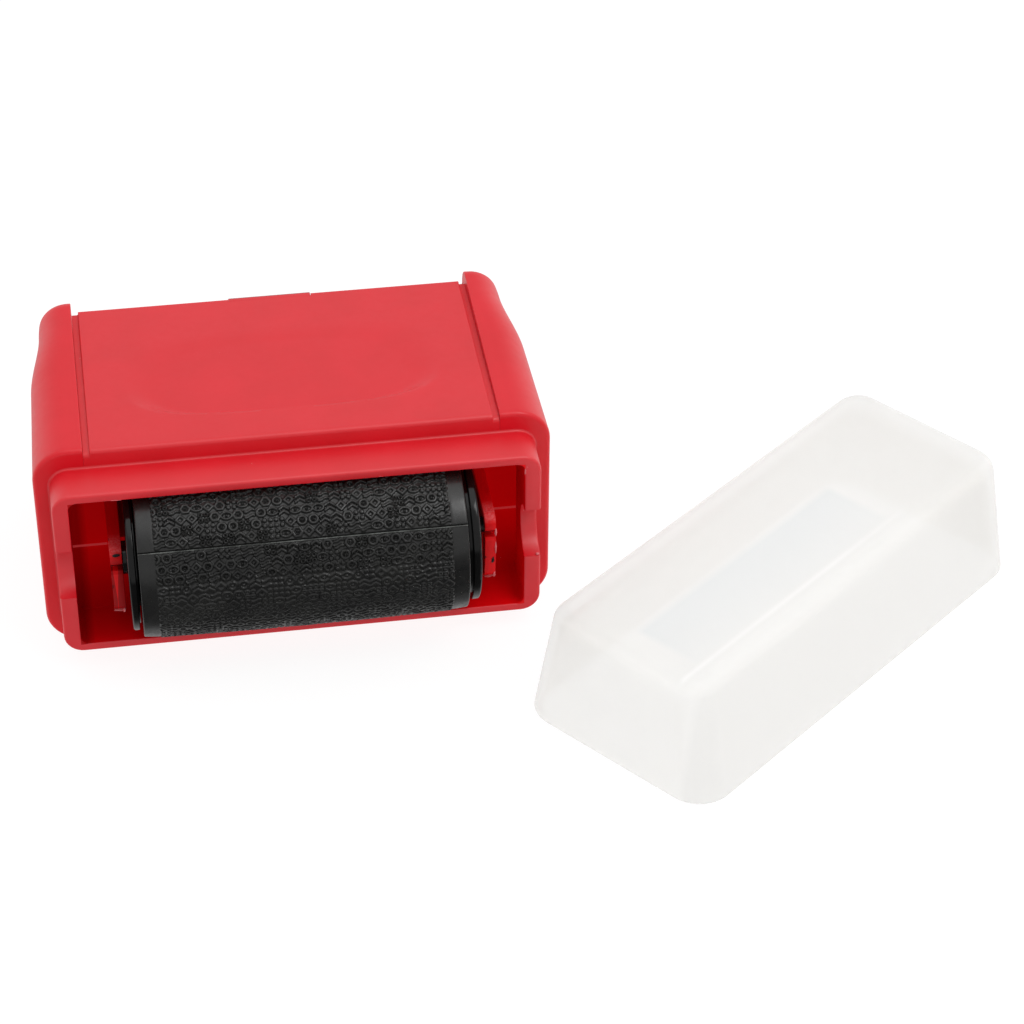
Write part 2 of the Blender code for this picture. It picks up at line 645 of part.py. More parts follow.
def make_axle(name, radius, y, parts, carrier, material):
    """A plain pin, as long as the frame is wide over its arms."""
    bm = bmesh.new()
    bmesh.ops.create_cone(
        bm, cap_ends=True, segments=SMALL_TURN_STEPS, radius1=radius, radius2=radius, depth=2 * ARM_OUTER_X
    )
    axle = finish_object(name, bm, material, parts, carrier)
    axle.location = (0, y, MID_HEIGHT)
    axle.rotation_euler = (0, math.pi / 2, 0)
    return axle


def cap_rings(wall):
    """Rings from the cap's rim to its closed face, drawn in by a wall: straight, then a round edge."""
    top = CAP_HEIGHT - wall
    edge = CAP_EDGE_RADIUS - wall
    straight = top - edge
    start = -OVERRUN if wall else 0
    heights = [(start, 0), (straight, 0)]
    for step in range(1, EDGE_STEPS + 2):
        share = math.sin(math.pi / 2 * step / (EDGE_STEPS + 1))
        heights.append((straight + edge * share, quarter_inset(edge, share)))
    rings = []
    for z, inset in heights:
        share = z / CAP_HEIGHT
        length = CAP_RIM_LENGTH + (CAP_TOP_LENGTH - CAP_RIM_LENGTH) * share
        width = CAP_RIM_WIDTH + (CAP_TOP_WIDTH - CAP_RIM_WIDTH) * share
        radius = CAP_RIM_CORNER_RADIUS + (CAP_TOP_CORNER_RADIUS - CAP_RIM_CORNER_RADIUS) * share
        draw_in = inset + wall
        ring = rounded_ring(length / 2 - draw_in, width / 2 - draw_in, radius - draw_in)
        rings.append([(u, v, z) for u, v in ring])
    return rings


def make_cap(parts, cutters, root, material):
    """The snap cap, one tapered shell standing on its open rim."""
    cap = finish_object("cap", loft(cap_rings(0)), material, parts, root)
    space = as_cutter(finish_object("cap_space", loft(cap_rings(CAP_WALL)), None, cutters, root))
    for piece in (cap, space):
        piece.location = (CAP_CENTRE_X, CAP_CENTRE_Y, 0)
        piece.rotation_euler = (0, 0, math.radians(CAP_TURN_DEGREES))
    boolean(cap, space)
    return cap


def footprint_middle():
    """The middle of the set's footprint, from the stamp's sizes and the turned cap's reach."""
    turn = math.radians(CAP_TURN_DEGREES)
    straight_length = CAP_RIM_LENGTH / 2 - CAP_RIM_CORNER_RADIUS
    straight_width = CAP_RIM_WIDTH / 2 - CAP_RIM_CORNER_RADIUS
    reach_x = straight_length * math.cos(turn) + straight_width * math.sin(turn) + CAP_RIM_CORNER_RADIUS
    reach_y = straight_length * math.sin(turn) + straight_width * math.cos(turn) + CAP_RIM_CORNER_RADIUS
    low_x = min(-BODY_HALF_WIDTH, CAP_CENTRE_X - reach_x)
    high_x = max(BODY_HALF_WIDTH, CAP_CENTRE_X + reach_x)
    low_y = min(STAMP_AXIS_Y - STAMP_MIDDLE_RADIUS, CAP_CENTRE_Y - reach_y)
    high_y = max(CHEEK_REAR_Y, CAP_CENTRE_Y + reach_y)
    return (low_x + high_x) / 2, (low_y + high_y) / 2


def new_empty(name, collection, parent, place):
    """An empty that carries pieces."""
    empty = bpy.data.objects.new(name, None)
    collection.objects.link(empty)
    empty.parent = parent
    empty.location = place
    return empty


def main():
    clear_scene()
    parts = new_collection("privacy_roller_stamp")
    cutters = new_collection("cutters")
    cutters.hide_render = True
    middle_x, middle_y = footprint_middle()
    root = new_empty("stamp_set", parts, None, (-middle_x, -middle_y, 0))
    carrier = new_empty("cartridge", parts, root, (0, 0, 0))
    stamp_spindle = new_empty("stamp_spindle", parts, carrier, (0, STAMP_AXIS_Y, MID_HEIGHT))
    ink_spindle = new_empty("ink_spindle", parts, carrier, (0, INK_AXIS_Y, MID_HEIGHT))

    red = plastic("red_plastic", RED, 0.32)
    deep_red = plastic("inner_red_plastic", DEEP_RED, 0.40)
    gloss_black = plastic("gloss_black_plastic", BLACK, 0.18)
    core_black = plastic("core_plastic", BLACK, 0.45)
    rubber = plastic("black_rubber", BLACK, 0.62)
    felt = plastic("ink_felt", INK_DARK, 0.95)
    steel = plastic("steel", STEEL, 0.30, 1.0)
    milky = plastic("milky_plastic", MILKY, 0.40)

    make_handle_shell(parts, cutters, root, red)
    make_cheek("left_cheek", -1, parts, cutters, root, red)
    make_cheek("right_cheek", 1, parts, cutters, root, red)
    make_mouth_frame(parts, cutters, root, deep_red)
    make_cartridge_frame(parts, cutters, carrier, deep_red)
    make_rear_cover(parts, cutters, carrier, red)
    make_axle("stamp_axle", STAMP_AXLE_RADIUS, STAMP_AXIS_Y, parts, carrier, core_black)
    make_axle("ink_axle", INK_AXLE_RADIUS, INK_AXIS_Y, parts, carrier, steel)
    make_stamp_core(parts, stamp_spindle, core_black)
    make_stamp_sleeve(parts, stamp_spindle, rubber)
    make_stamp_flange("stamp_flange_left", -1, parts, stamp_spindle, gloss_black)
    make_stamp_flange("stamp_flange_right", 1, parts, stamp_spindle, gloss_black)
    make_ink_roller(parts, ink_spindle, felt, core_black)
    make_cap(parts, cutters, root, milky)


main()
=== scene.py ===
import logging
import math
from dataclasses import dataclass, field, replace
from enum import Enum

import bpy
import numpy as np
from mathutils import Matrix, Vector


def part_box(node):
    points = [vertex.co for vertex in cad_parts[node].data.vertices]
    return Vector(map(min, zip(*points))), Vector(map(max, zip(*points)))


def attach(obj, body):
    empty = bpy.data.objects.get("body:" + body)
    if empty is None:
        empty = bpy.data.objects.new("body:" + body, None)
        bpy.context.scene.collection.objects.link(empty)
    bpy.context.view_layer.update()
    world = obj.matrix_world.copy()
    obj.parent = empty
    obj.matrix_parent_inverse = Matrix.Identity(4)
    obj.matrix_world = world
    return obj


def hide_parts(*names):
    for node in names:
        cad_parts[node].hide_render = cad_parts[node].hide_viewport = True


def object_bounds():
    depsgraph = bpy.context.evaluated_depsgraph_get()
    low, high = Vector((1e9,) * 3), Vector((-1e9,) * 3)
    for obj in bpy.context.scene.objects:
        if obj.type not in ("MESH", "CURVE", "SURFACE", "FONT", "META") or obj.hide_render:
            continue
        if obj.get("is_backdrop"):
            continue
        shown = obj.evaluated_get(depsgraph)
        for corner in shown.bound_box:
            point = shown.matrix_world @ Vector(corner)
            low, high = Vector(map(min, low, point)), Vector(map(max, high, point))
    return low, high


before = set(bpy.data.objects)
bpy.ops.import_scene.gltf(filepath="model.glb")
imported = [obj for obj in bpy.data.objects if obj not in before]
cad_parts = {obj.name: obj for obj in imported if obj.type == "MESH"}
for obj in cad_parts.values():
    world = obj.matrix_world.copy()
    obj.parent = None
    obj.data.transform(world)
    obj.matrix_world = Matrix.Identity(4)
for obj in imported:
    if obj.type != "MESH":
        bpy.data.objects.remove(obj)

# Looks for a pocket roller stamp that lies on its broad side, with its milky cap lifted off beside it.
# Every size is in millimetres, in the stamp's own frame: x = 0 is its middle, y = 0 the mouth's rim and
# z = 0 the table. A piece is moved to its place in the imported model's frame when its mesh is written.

LOG = logging.getLogger("roller_stamp")
MM = 0.001
SHARP_ANGLE = math.radians(38.0)
QUARTER = np.pi / 2
Pair = tuple[float, float]
Triple = tuple[float, float, float]
Colour = Triple
Crumbs = tuple[tuple[Triple, Triple], ...]
MIDDLE_Z = 15.8
STAMP_AXLE: Pair = (3.0, MIDDLE_Z)
INK_AXLE: Pair = (20.05, MIDDLE_Z)


class Side(Enum):
    """The stamp's two ends along its axle."""

    LEFT = -1
    RIGHT = 1


class Body(Enum):
    """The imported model's bodies."""

    HOUSING = "housing"
    CARTRIDGE = "cartridge"
    STAMP_ROLLER = "stamp_roller"
    INK_ROLLER = "ink_roller"
    CAP = "cap"


class Slot(Enum):
    """The record's material slots."""

    RED_SHELL = "red_shell"
    RED_INNER = "red_inner"
    STAMP_RUBBER = "stamp_rubber"
    GLOSS_BLACK = "gloss_black"
    CORE_BLACK = "core_black"
    INK_FELT = "ink_felt"
    STEEL = "steel"
    MILKY_CAP = "milky_cap"


# ---------------------------------------------------------------------------------------------------
# Shapes


@dataclass
class Solid:
    """A closed surface in millimetres: its points and its faces, as rows of point numbers."""

    points: np.ndarray
    quads: np.ndarray
    others: list[list[int]] = field(default_factory=list)

    def volume(self) -> float:
        """Signed volume: the sum, over triangles fanned from each face's first corner, of a.(b x c) / 6."""
        fans = [self.quads[:, (0, 1, 2)], self.quads[:, (0, 2, 3)]]
        for face in self.others:
            ring = np.array(face)
            fans.append(np.stack((np.full(len(ring) - 2, ring[0]), ring[1:-1], ring[2:]), axis=1))
        corners = self.points[np.concatenate(fans)]
        return float(np.einsum("ij,ij->", corners[:, 0], np.cross(corners[:, 1], corners[:, 2])) / 6)

    def outward(self) -> "Solid":
        """The same surface with its faces turned outwards."""
        if self.volume() >= 0:
            return self
        return Solid(self.points, self.quads[:, ::-1], [face[::-1] for face in self.others])


def cells(index: np.ndarray) -> np.ndarray:
    """Quads (i, j) (i+1, j) (i+1, j+1) (i, j+1) for every cell of a grid of point numbers."""
    return np.stack((index[:-1, :-1], index[1:, :-1], index[1:, 1:], index[:-1, 1:]), axis=-1)


def numbered(rows: int, columns: int, start: int = 0) -> np.ndarray:
    """A grid of point numbers that comes back round to its first column."""
    index = start + np.arange(rows * columns).reshape(rows, columns)
    return np.hstack((index, index[:, :1]))


def walled(outer: np.ndarray, inner: np.ndarray, keep: np.ndarray | None = None) -> Solid:
    """A closed wall between two grids of the same size, with a strip between them along every open edge.

    Args:
        outer: Points (rows, columns, 3) of the outer side.
        inner: Points (rows, columns, 3) of the inner side.
        keep: True for each cell that is there, or None for all of them.

    Returns:
        The closed solid, without the points that no face uses.
    """
    rows, columns = outer.shape[:2]
    keep = np.ones((rows - 1, columns - 1), bool) if keep is None else keep
    index = np.arange(rows * columns).reshape(rows, columns)
    under = rows * columns
    faces = cells(index)[keep]
    quads = [faces, faces[:, ::-1] + under]
    ringed = np.pad(keep, 1)
    for before, after, start, end in (
        (ringed[1:-1, :-1], ringed[1:-1, 1:], index[1:], index[:-1]),
        (ringed[:-1, 1:-1], ringed[1:, 1:-1], index[:, :-1], index[:, 1:]),
    ):
        for edge, a, b in ((after & ~before, start, end), (before & ~after, end, start)):
            quads.append(np.stack((a[edge], b[edge], b[edge] + under, a[edge] + under), axis=1))
    points = np.concatenate((outer.reshape(-1, 3), inner.reshape(-1, 3)))
    used, renumbered = np.unique(np.concatenate(quads), return_inverse=True)
    return Solid(points[used], renumbered.reshape(-1, 4)).outward()


def slab(outer: np.ndarray, inner: np.ndarray) -> Solid:
    """A closed sheet whose fine outer grid stands over two plain inner columns.

    Args:
        outer: Points (rows, columns, 3) of the fine side.
        inner: Points (rows, 2, 3) below its first and its last column.

    Returns:
        The closed solid, with one flat face at the first row and one at the last.
    """
    rows, columns = outer.shape[:2]
    index = np.arange(rows * columns).reshape(rows, columns)
    under = rows * columns + np.arange(rows * 2).reshape(rows, 2)
    left = np.stack((index[:, 0], under[:, 0]), axis=1)[:, ::-1]
    right = np.stack((index[:, -1], under[:, 1]), axis=1)
    quads = [cells(index), cells(under)[:, :, ::-1], cells(left), cells(right)]
    first = [*index[0].tolist(), int(under[0, 1]), int(under[0, 0])]
    last = [*index[-1, ::-1].tolist(), int(under[-1, 0]), int(under[-1, 1])]
    points = np.concatenate((outer.reshape(-1, 3), inner.reshape(-1, 3)))
    return Solid(points, np.concatenate([quad.reshape(-1, 4) for quad in quads]), [first, last]).outward()


def looped(rings: np.ndarray) -> Solid:
    """A closed ring-shaped solid: a grid (rows, around, 3) whose rows and columns both come back round."""
    index = numbered(*rings.shape[:2])
    return Solid(rings.reshape(-1, 3), cells(np.vstack((index, index[:1]))).reshape(-1, 4)).outward()


def lidded(rings: np.ndarray, inset: float = 0.03) -> Solid:
    """A closed solid through rings (rows, around, 3), with a fan to the middle of its first and last.

    Just inside both rims lies one more ring, so that the rims' rounding doesn't shade the flat ends.
    """
    inside = [ring + inset * (ring.mean(axis=0) - ring) for ring in (rings[0], rings[-1])]
    rings = np.concatenate((inside[:1], rings, inside[1:]))
    rows, around = rings.shape[:2]
    index = numbered(rows, around)
    points = np.vstack((rings.reshape(-1, 3), rings[0].mean(axis=0), rings[-1].mean(axis=0)))
    pole = rows * around
    first = [[int(b), int(a), pole] for a, b in zip(index[0, :-1], index[0, 1:])]
    last = [[int(a), int(b), pole + 1] for a, b in zip(index[-1, :-1], index[-1, 1:])]
    return Solid(points, cells(index).reshape(-1, 4)[:, ::-1], first + last).outward()


def along_y(path: np.ndarray, y: float, lift: float) -> np.ndarray:
    """The points (u, v) of a path as (u, y, v + lift)."""
    return np.stack((path[:, 0], np.full(len(path), y), path[:, 1] + lift), axis=-1)


def around_x(x: np.ndarray, radius: np.ndarray, turn: np.ndarray, axis: Pair) -> np.ndarray:
    """Points at a radius and a turn about an axle along X, whose place is (y, z)."""
    places = x, axis[0] + radius * np.cos(turn), axis[1] + radius * np.sin(turn)
    return np.stack(np.broadcast_arrays(*places), axis=-1)


def smooth_step(value: np.ndarray) -> np.ndarray:
    """Eases 0 to 1 as t.t.(3 - 2t), with t held between 0 and 1."""
    share = np.clip(value, 0.0, 1.0)
    return share * share * (3 - 2 * share)


def ripple(a: np.ndarray, b: np.ndarray, seed: float) -> np.ndarray:
    """An uneven wave between about -1 and 1: the mean of four crossed sines with unrelated periods."""
    waves = ((1.7, 2.9, 1.0), (3.1, -1.3, 2.1), (5.3, 4.7, 0.7), (-4.1, 7.9, 1.3))
    return sum(np.sin(p * a + q * b + r * seed) for p, q, r in waves) / len(waves)


def rounded(corners: np.ndarray, radii: np.ndarray, steps: int = 4) -> np.ndarray:
    """A closed polyline with an arc in place of each corner.

    Each arc starts r / tan(half the corner's angle) before the corner, and its points turn evenly about
    the centre that lies r / sin(half the angle) along the corner's middle line.

    Args:
        corners: Points (count, 2) in order.
        radii: The radius at each corner, 0 to keep it sharp.
        steps: Spans in each arc.

    Returns:
        Points (any, 2), with repeats removed.
    """
    before = np.roll(corners, 1, axis=0) - corners
    after = np.roll(corners, -1, axis=0) - corners
    before /= np.linalg.norm(before, axis=1, keepdims=True)
    after /= np.linalg.norm(after, axis=1, keepdims=True)
    half = np.arccos(np.clip(np.einsum("ij,ij->i", before, after), -0.9999, 0.9999)) / 2
    middle = before + after
    middle /= np.linalg.norm(middle, axis=1, keepdims=True) + 1e-12
    centre = corners + middle * (radii / np.sin(half))[:, None]
    reach = (radii / np.tan(half))[:, None]
    first, last = corners + before * reach - centre, corners + after * reach - centre
    share = np.linspace(0, 1, steps + 1)[None, :, None]
    turns = (np.pi - 2 * half)[:, None, None]
    arc = (np.sin((1 - share) * turns) * first[:, None] + np.sin(share * turns) * last[:, None]) / np.sin(turns)
    path = (centre[:, None] + arc).reshape(-1, 2)
    return path[np.linalg.norm(path - np.roll(path, 1, axis=0), axis=1) > 1e-7]


def rectangle(half_u: float, half_v: float, radius: float, arc: int, long: int, short: np.ndarray) -> np.ndarray:
    """A ring round a rectangle with round corners, counter-clockwise from its right side's lower end.

    Args:
        half_u: Half its width.
        half_v: Half its height.
        radius: Its corner radius.
        arc: Spans in each corner's arc.
        long: Spans in its upper and lower sides.
        short: Rising places from -1 to 1 of the points between the two arcs on both its short sides.

    Returns:
        Points (count, 2), with the same count for every size.
    """
    straight_u, straight_v = half_u - radius, half_v - radius
    angles = np.linspace(0, QUARTER, arc + 1)
    corner = radius * np.stack((np.cos(angles), np.sin(angles)), axis=1)
    right = np.stack((np.full(len(short), half_u), short * straight_v), axis=1)
    top = np.linspace(1, -1, long + 1)[1:-1]
    upper = np.stack((top * straight_u, np.full(len(top), half_v)), axis=1)
    upper_right = corner + (straight_u, straight_v)
    upper_left = corner[::-1] * (-1, 1) + (-straight_u, straight_v)
    left = right[::-1] * (-1, 1)
    return np.concatenate((right, upper_right, upper, upper_left, left, -upper_right, -upper, -upper_left))


def clipped_side(size: Triple, near: float, ease: float, count: int) -> np.ndarray:
    """The part of a round-cornered rectangle beyond u = near, from its upper to its lower cut.

    The outline is sampled densely, cut where u = near + ease and spaced evenly by length. A quarter
    circle of radius ease turns it down into the cut at both ends.

    Args:
        size: Half its width, half its height and its corner radius.
        near: Where it is cut.
        ease: The radius of the rounding at the cut.
        count: Points between the two roundings.

    Returns:
        Points (count + 10, 2).
    """
    half_u, half_v, radius = size
    angles = np.linspace(0, QUARTER, 64)
    upper = np.stack((half_u - radius + radius * np.sin(angles), half_v - radius + radius * np.cos(angles)), axis=1)
    top = np.concatenate((((min(0.0, half_u - radius - 1), half_v),), upper))
    full = np.concatenate((top, top[::-1] * (1, -1)))
    lengths = np.concatenate(((0,), np.cumsum(np.linalg.norm(np.diff(full, axis=0), axis=1))))
    cut = np.interp(near + ease, top[:, 0], lengths[: len(top)])
    places = np.linspace(cut, lengths[-1] - cut, count)
    path = np.stack([np.interp(places, lengths, full[:, axis]) for axis in (0, 1)], axis=1)
    quarter = np.linspace(0, QUARTER, 5)[:-1]
    bend = np.stack((near + ease * (1 - np.cos(quarter)), path[0, 1] - ease * (1 - np.sin(quarter))), axis=1)
    bend = np.concatenate(((bend[0] - (0, ease),), bend))
    return np.concatenate((bend, path, bend[::-1] * (1, -1)))


def spun(
    corners: list[Pair], radii: float | list[float], axis: Pair, around: int, steps: int = 4, side: int = 1
) -> Solid:
    """A ring turned about an axle along X from a cross-section with round corners.

    Args:
        corners: The cross-section's corners (x, radius) in order.
        radii: Each corner's rounding, or one for all.
        axis: The axle's place (y, z).
        around: Points round the ring.
        steps: Spans in each rounding.
        side: -1 to mirror it to the other end.

    Returns:
        The closed solid.
    """
    profile = rounded(np.array(corners), np.broadcast_to(np.array(radii), len(corners)), steps)
    angles = np.linspace(0, 2 * np.pi, around, endpoint=False)
    return looped(around_x(profile[:, :1] * side, profile[:, 1:], angles, axis))


def barrel(half_length: float, outer: float, inner: float, ease: float, axis: Pair, around: int) -> Solid:
    """A plain tube about an axle along X."""
    corners = [(half_length, outer), (-half_length, outer), (-half_length, inner), (half_length, inner)]
    return spun(corners, ease, axis, around)


def block(low: Triple, high: Triple, edge: float, corner: float, axis: int = 1) -> Solid:
    """A box with round edges: round-cornered rings along one axis, drawn in by a quarter circle at both ends.

    Args:
        low: One of its corners.
        high: The opposite corner.
        edge: The rounding of its two ends.
        corner: The rounding of the four edges along the axis.
        axis: The axis that the rings follow.

    Returns:
        The closed solid.
    """
    low, high = np.minimum(low, high), np.maximum(low, high)
    middle, half = (low + high) / 2, (high - low) / 2
    across = [a for a in range(3) if a != axis]
    turns = np.linspace(0, QUARTER, 4)
    ends = half[axis] - edge + edge * np.sin(turns)
    insets = edge * (1 - np.cos(turns))
    rings = []
    for place, inset in zip((*-ends[::-1], *ends), (*insets[::-1], *insets)):
        size = half[across] - inset
        points = np.full((20, 3), place)
        points[:, across] = rectangle(*size, max(corner - inset, 0.02), 3, 2, np.zeros(1))
        rings.append(points + middle)
    return lidded(np.array(rings))


def shreds(crumbs: Crumbs, seed: int) -> list[Solid]:
    """Ragged crumbs: ellipsoids whose radius swings by up to half with a ripple over its two angles.

    Args:
        crumbs: Each crumb's middle and its half sizes.
        seed: The first crumb's ripple; each further one has the next.

    Returns:
        The closed solids.
    """
    tilt = np.linspace(0, np.pi, 15)[1:-1, None]
    turn = np.linspace(0, 2 * np.pi, 20, endpoint=False)[None]
    ball = np.stack((np.sin(tilt) * np.cos(turn), np.sin(tilt) * np.sin(turn), np.cos(tilt) + 0 * turn), axis=-1)
    u, v = 2 * ball[..., 0] + 3 * ball[..., 2], 2 * ball[..., 1]
    return [
        lidded(ball * (1 + 0.5 * ripple(u, v, number))[..., None] * half + middle)
        for number, (middle, half) in enumerate(crumbs, seed)
    ]


def extruded(outer: np.ndarray, hole: np.ndarray, low: float, high: float, ease: float) -> Solid:
    """A flat plate across X with one hole, from closed outlines of (y, z) points.

    The outer outline starts at its rear middle and its half-way mark is where the slot ends; the hole
    starts at its front. Each face is two polygons that meet on the middle line. Towards both faces the
    outlines draw into the material by a quarter circle.

    Args:
        outer: The outer outline, counter-clockwise, with an even count.
        hole: The hole's outline, clockwise, with an even count.
        low: The lower face's x.
        high: The upper face's x.
        ease: The rounding of the edges.

    Returns:
        The closed solid.
    """
    turns = np.linspace(0, QUARTER, 3)
    draws, steps = ease * (1 - np.sin(turns)), ease * (1 - np.cos(turns))
    xs = np.concatenate((low + steps, high - steps[::-1]))[:, None]
    draws = np.concatenate((draws, draws[::-1]))[:, None, None]
    points, quads, rims, start = [], [], [], 0
    for loop in (outer, hole):
        tangent = np.roll(loop, -1, axis=0) - np.roll(loop, 1, axis=0)
        tangent /= np.linalg.norm(tangent, axis=1, keepdims=True)
        flat = loop + np.stack((-tangent[:, 1], tangent[:, 0]), axis=1) * draws
        points.append(np.stack(np.broadcast_arrays(xs, flat[..., 0], flat[..., 1]), axis=-1).reshape(-1, 3))
        index = numbered(len(xs), len(loop), start)
        quads.append(cells(index).reshape(-1, 4))
        rims.append(index[:, :-1])
        start += index[:, :-1].size
    faces = []
    for row, turn in ((0, 1), (-1, -1)):
        rim, inner = (index[row].tolist() for index in rims)
        half, mid = len(rim) // 2, len(inner) // 2
        halves = rim[: half + 1] + inner[: mid + 1], rim[half:] + rim[:1] + inner[mid:] + inner[:1]
        faces += [face[::turn] for face in halves]
    return Solid(np.concatenate(points), np.concatenate(quads), faces).outward()


# ---------------------------------------------------------------------------------------------------
# Finishes


class Value:
    """A value in a node tree. Sums with it, and its methods, write more nodes."""

    def __init__(self, nodes: "Nodes", socket: bpy.types.NodeSocket) -> None:
        """Holds the socket that the value comes from."""
        self.nodes, self.socket = nodes, socket

    def math(self, operation: str, other: "Value | float" = 0.0) -> "Value":
        """This value and another through a math node."""
        return self.nodes.add("Math", {0: self, 1: other}, operation=operation)

    def __add__(self, other: "Value | float") -> "Value":
        """The sum."""
        return self.math("ADD", other)

    def __sub__(self, other: "Value | float") -> "Value":
        """The difference."""
        return self.math("SUBTRACT", other)

    def __rsub__(self, other: float) -> "Value":
        """A number less this value."""
        return self.nodes.add("Math", {0: other, 1: self}, operation="SUBTRACT")

    def __mul__(self, other: "Value | float") -> "Value":
        """The product."""
        return self.math("MULTIPLY", other)

    def __abs__(self) -> "Value":
        """The distance from 0."""
        return self.math("ABSOLUTE")

    def span(
        self, low: float, high: float, to_low: float = 0.0, to_high: float = 1.0, kind: str = "LINEAR"
    ) -> "Value":
        """Maps low..high to to_low..to_high, held at both ends."""
        ends = {"From Min": low, "From Max": high, "To Min": to_low, "To Max": to_high}
        return self.nodes.add("MapRange", {"Value": self, **ends}, interpolation_type=kind)


class Nodes:
    """Writes nodes into a tree, around one kind of texture coordinates."""

    def __init__(self, tree: bpy.types.NodeTree, coordinates: str) -> None:
        """Starts with the coordinates."""
        self.tree = tree
        self.place = self.add("TexCoord", {}, coordinates)

    def feed(self, source: Value | float | Colour, target: bpy.types.NodeSocket) -> None:
        """Links a value to a socket, or writes a plain one there."""
        if isinstance(source, Value):
            self.tree.links.new(source.socket, target)
        else:
            target.default_value = (*source, 1.0) if target.type == "RGBA" else source

    def add(
        self, kind: str, inputs: dict[str | int, Value | float | Colour], output: str | int = 0, **settings: str
    ) -> Value:
        """Adds a node.

        Args:
            kind: Its type, without the first word.
            inputs: What goes into each of its inputs.
            output: The output to go on from.
            settings: Its other settings.

        Returns:
            What comes out of it.
        """
        node = self.tree.nodes.new(f"ShaderNode{kind}")
        for key, setting in settings.items():
            setattr(node, key, setting)
        for key, source in inputs.items():
            self.feed(source, node.inputs[key])
        return Value(self, node.outputs[output])

    def part(self, name: str) -> Value:
        """One of the coordinates."""
        return self.add("SeparateXYZ", {0: self.place}, name)


class Surface(Nodes):
    """Writes one material's nodes."""

    def __init__(self, name: str) -> None:
        """Makes the material."""
        self.material = bpy.data.materials.new(name)
        self.material.use_nodes = True
        super().__init__(self.material.node_tree, "Object")

    def axis(self, name: str, zero: float = 0.0) -> Value:
        """One of the object's coordinates in millimetres, counted from a place."""
        return self.part(name) * (1 / MM) - zero

    def noise(self, size: float, detail: float, stretch: Triple = (1.0, 1.0, 1.0)) -> Value:
        """Soft noise whose clouds are about a size in millimetres across, divided by a stretch for each axis."""
        place = self.add("Mapping", {"Vector": self.place, "Scale": stretch})
        return self.add("TexNoise", {"Vector": place, "Scale": 1 / (size * MM), "Detail": detail})

    def dots(self, size: float, near: float, far: float) -> Value:
        """Dots round scattered points that lie about a size in millimetres apart, fading from near to far."""
        return self.add("TexVoronoi", {"Vector": self.place, "Scale": 1 / (size * MM)}).span(near, far, 1.0, 0.0)

    def blend(self, share: Value, first: Value | Colour, second: Value | Colour) -> Value:
        """Colour that goes from the first to the second by a share."""
        return self.add("Mix", {0: share, 6: first, 7: second}, 2, data_type="RGBA")

    def bump(self, height: Value, depth: float, under: Value | None = None) -> Value:
        """A bump whose full height is a depth in millimetres, on top of another."""
        below = {} if under is None else {"Normal": under}
        return self.add("Bump", {"Distance": depth * MM, "Height": height, **below})

    def shine(self, **values: Value | float | Colour) -> None:
        """Feeds the shader's inputs, named in lower case with _ for a space."""
        inputs = self.tree.nodes["Principled BSDF"].inputs
        for key, value in values.items():
            self.feed(value, inputs[key.replace("_", " ").title().replace("Ior", "IOR")])


@dataclass(frozen=True)
class Finish:
    """A colour clouded with a second one, an uneven roughness, and layers of fine bumps.

    Each noise starts with its size in millimetres and its detail. The clouds' ends with the two values
    that it blends between, the patches' with the value where the roughness is highest, and a layer's
    with its depth in millimetres.
    """

    name: str
    colour: Colour
    cloud: Colour
    rough: Pair
    clouds: tuple[float, float, float, float] = (7.0, 3.0, 0.35, 0.68)
    patches: Triple = (1.1, 3.0, 0.7)
    stretch: Triple = (1.0, 1.0, 1.0)
    layers: tuple[Triple, ...] = ((3.2, 1.0, 0.002), (0.16, 2.0, 0.0006))
    lustre: tuple[tuple[str, float | Colour], ...] = ()

    def marked(self, nodes: Surface, colour: Value) -> Value:
        """The colour with the finish's own marks on it."""
        return colour

    def relief(self, nodes: Surface) -> Value:
        """The layers of bumps, each on top of the one before."""
        normal = None
        for size, detail, depth in self.layers:
            normal = nodes.bump(nodes.noise(size, detail), depth, normal)
        return normal

    def build(self) -> bpy.types.Material:
        """Writes the material."""
        nodes = Surface(self.name)
        share = nodes.noise(*self.clouds[:2]).span(*self.clouds[2:])
        colour = self.marked(nodes, nodes.blend(share, self.colour, self.cloud))
        size, detail, most = self.patches
        rough = nodes.noise(size, detail, self.stretch).span(0.3, most, *self.rough)
        nodes.shine(base_color=colour, roughness=rough, normal=self.relief(nodes), **dict(self.lustre))
        return nodes.material


@dataclass(frozen=True, kw_only=True)
class Moulded(Finish):
    """Moulded plastic with specks of dust. It can have a coarser front edge and a darker grey-brown band along its
    rear top edge.
    """

    specks: float = 0.035
    speck: Colour = (0.75, 0.6, 0.6)
    rough_edge: Pair | None = None
    # the darker grey-brown band along the rear top edge: where it starts, above what height, and its colour
    dark_rear_edge: float | None = None
    dark_edge_above: float = 29.9
    edge_band_and_patches: Colour = (0.22, 0.10, 0.10)

    def marked(self, nodes: Surface, colour: Value) -> Value:
        """The colour with its specks and its darker rear edge band."""
        chosen = nodes.noise(5.0, 0.0).span(0.58, 0.6)
        colour = nodes.blend(nodes.dots(2.6, self.specks * 0.6, self.specks) * chosen, colour, self.speck)
        if self.dark_rear_edge is None:
            return colour
        # a darker grey-brown band along the rear top edge, on the upper side only
        rear = nodes.axis("Y", self.dark_rear_edge).span(-0.12, 0.0, 0.0, 0.75)
        return nodes.blend(rear * nodes.axis("Z", self.dark_edge_above).span(-0.15, 0.0), colour, self.edge_band_and_patches)

    def relief(self, nodes: Surface) -> Value:
        """The bumps, whose grain shows most over the coarse stretch of depth at the front."""
        if self.rough_edge is None:
            return super().relief(nodes)
        (size, detail, depth), (fine, fine_detail, fine_depth) = self.layers
        grain = nodes.noise(fine, fine_detail) * nodes.axis("Y").span(*self.rough_edge, 1.0, 0.12)
        return nodes.bump(grain, fine_depth, nodes.bump(nodes.noise(size, detail), depth))


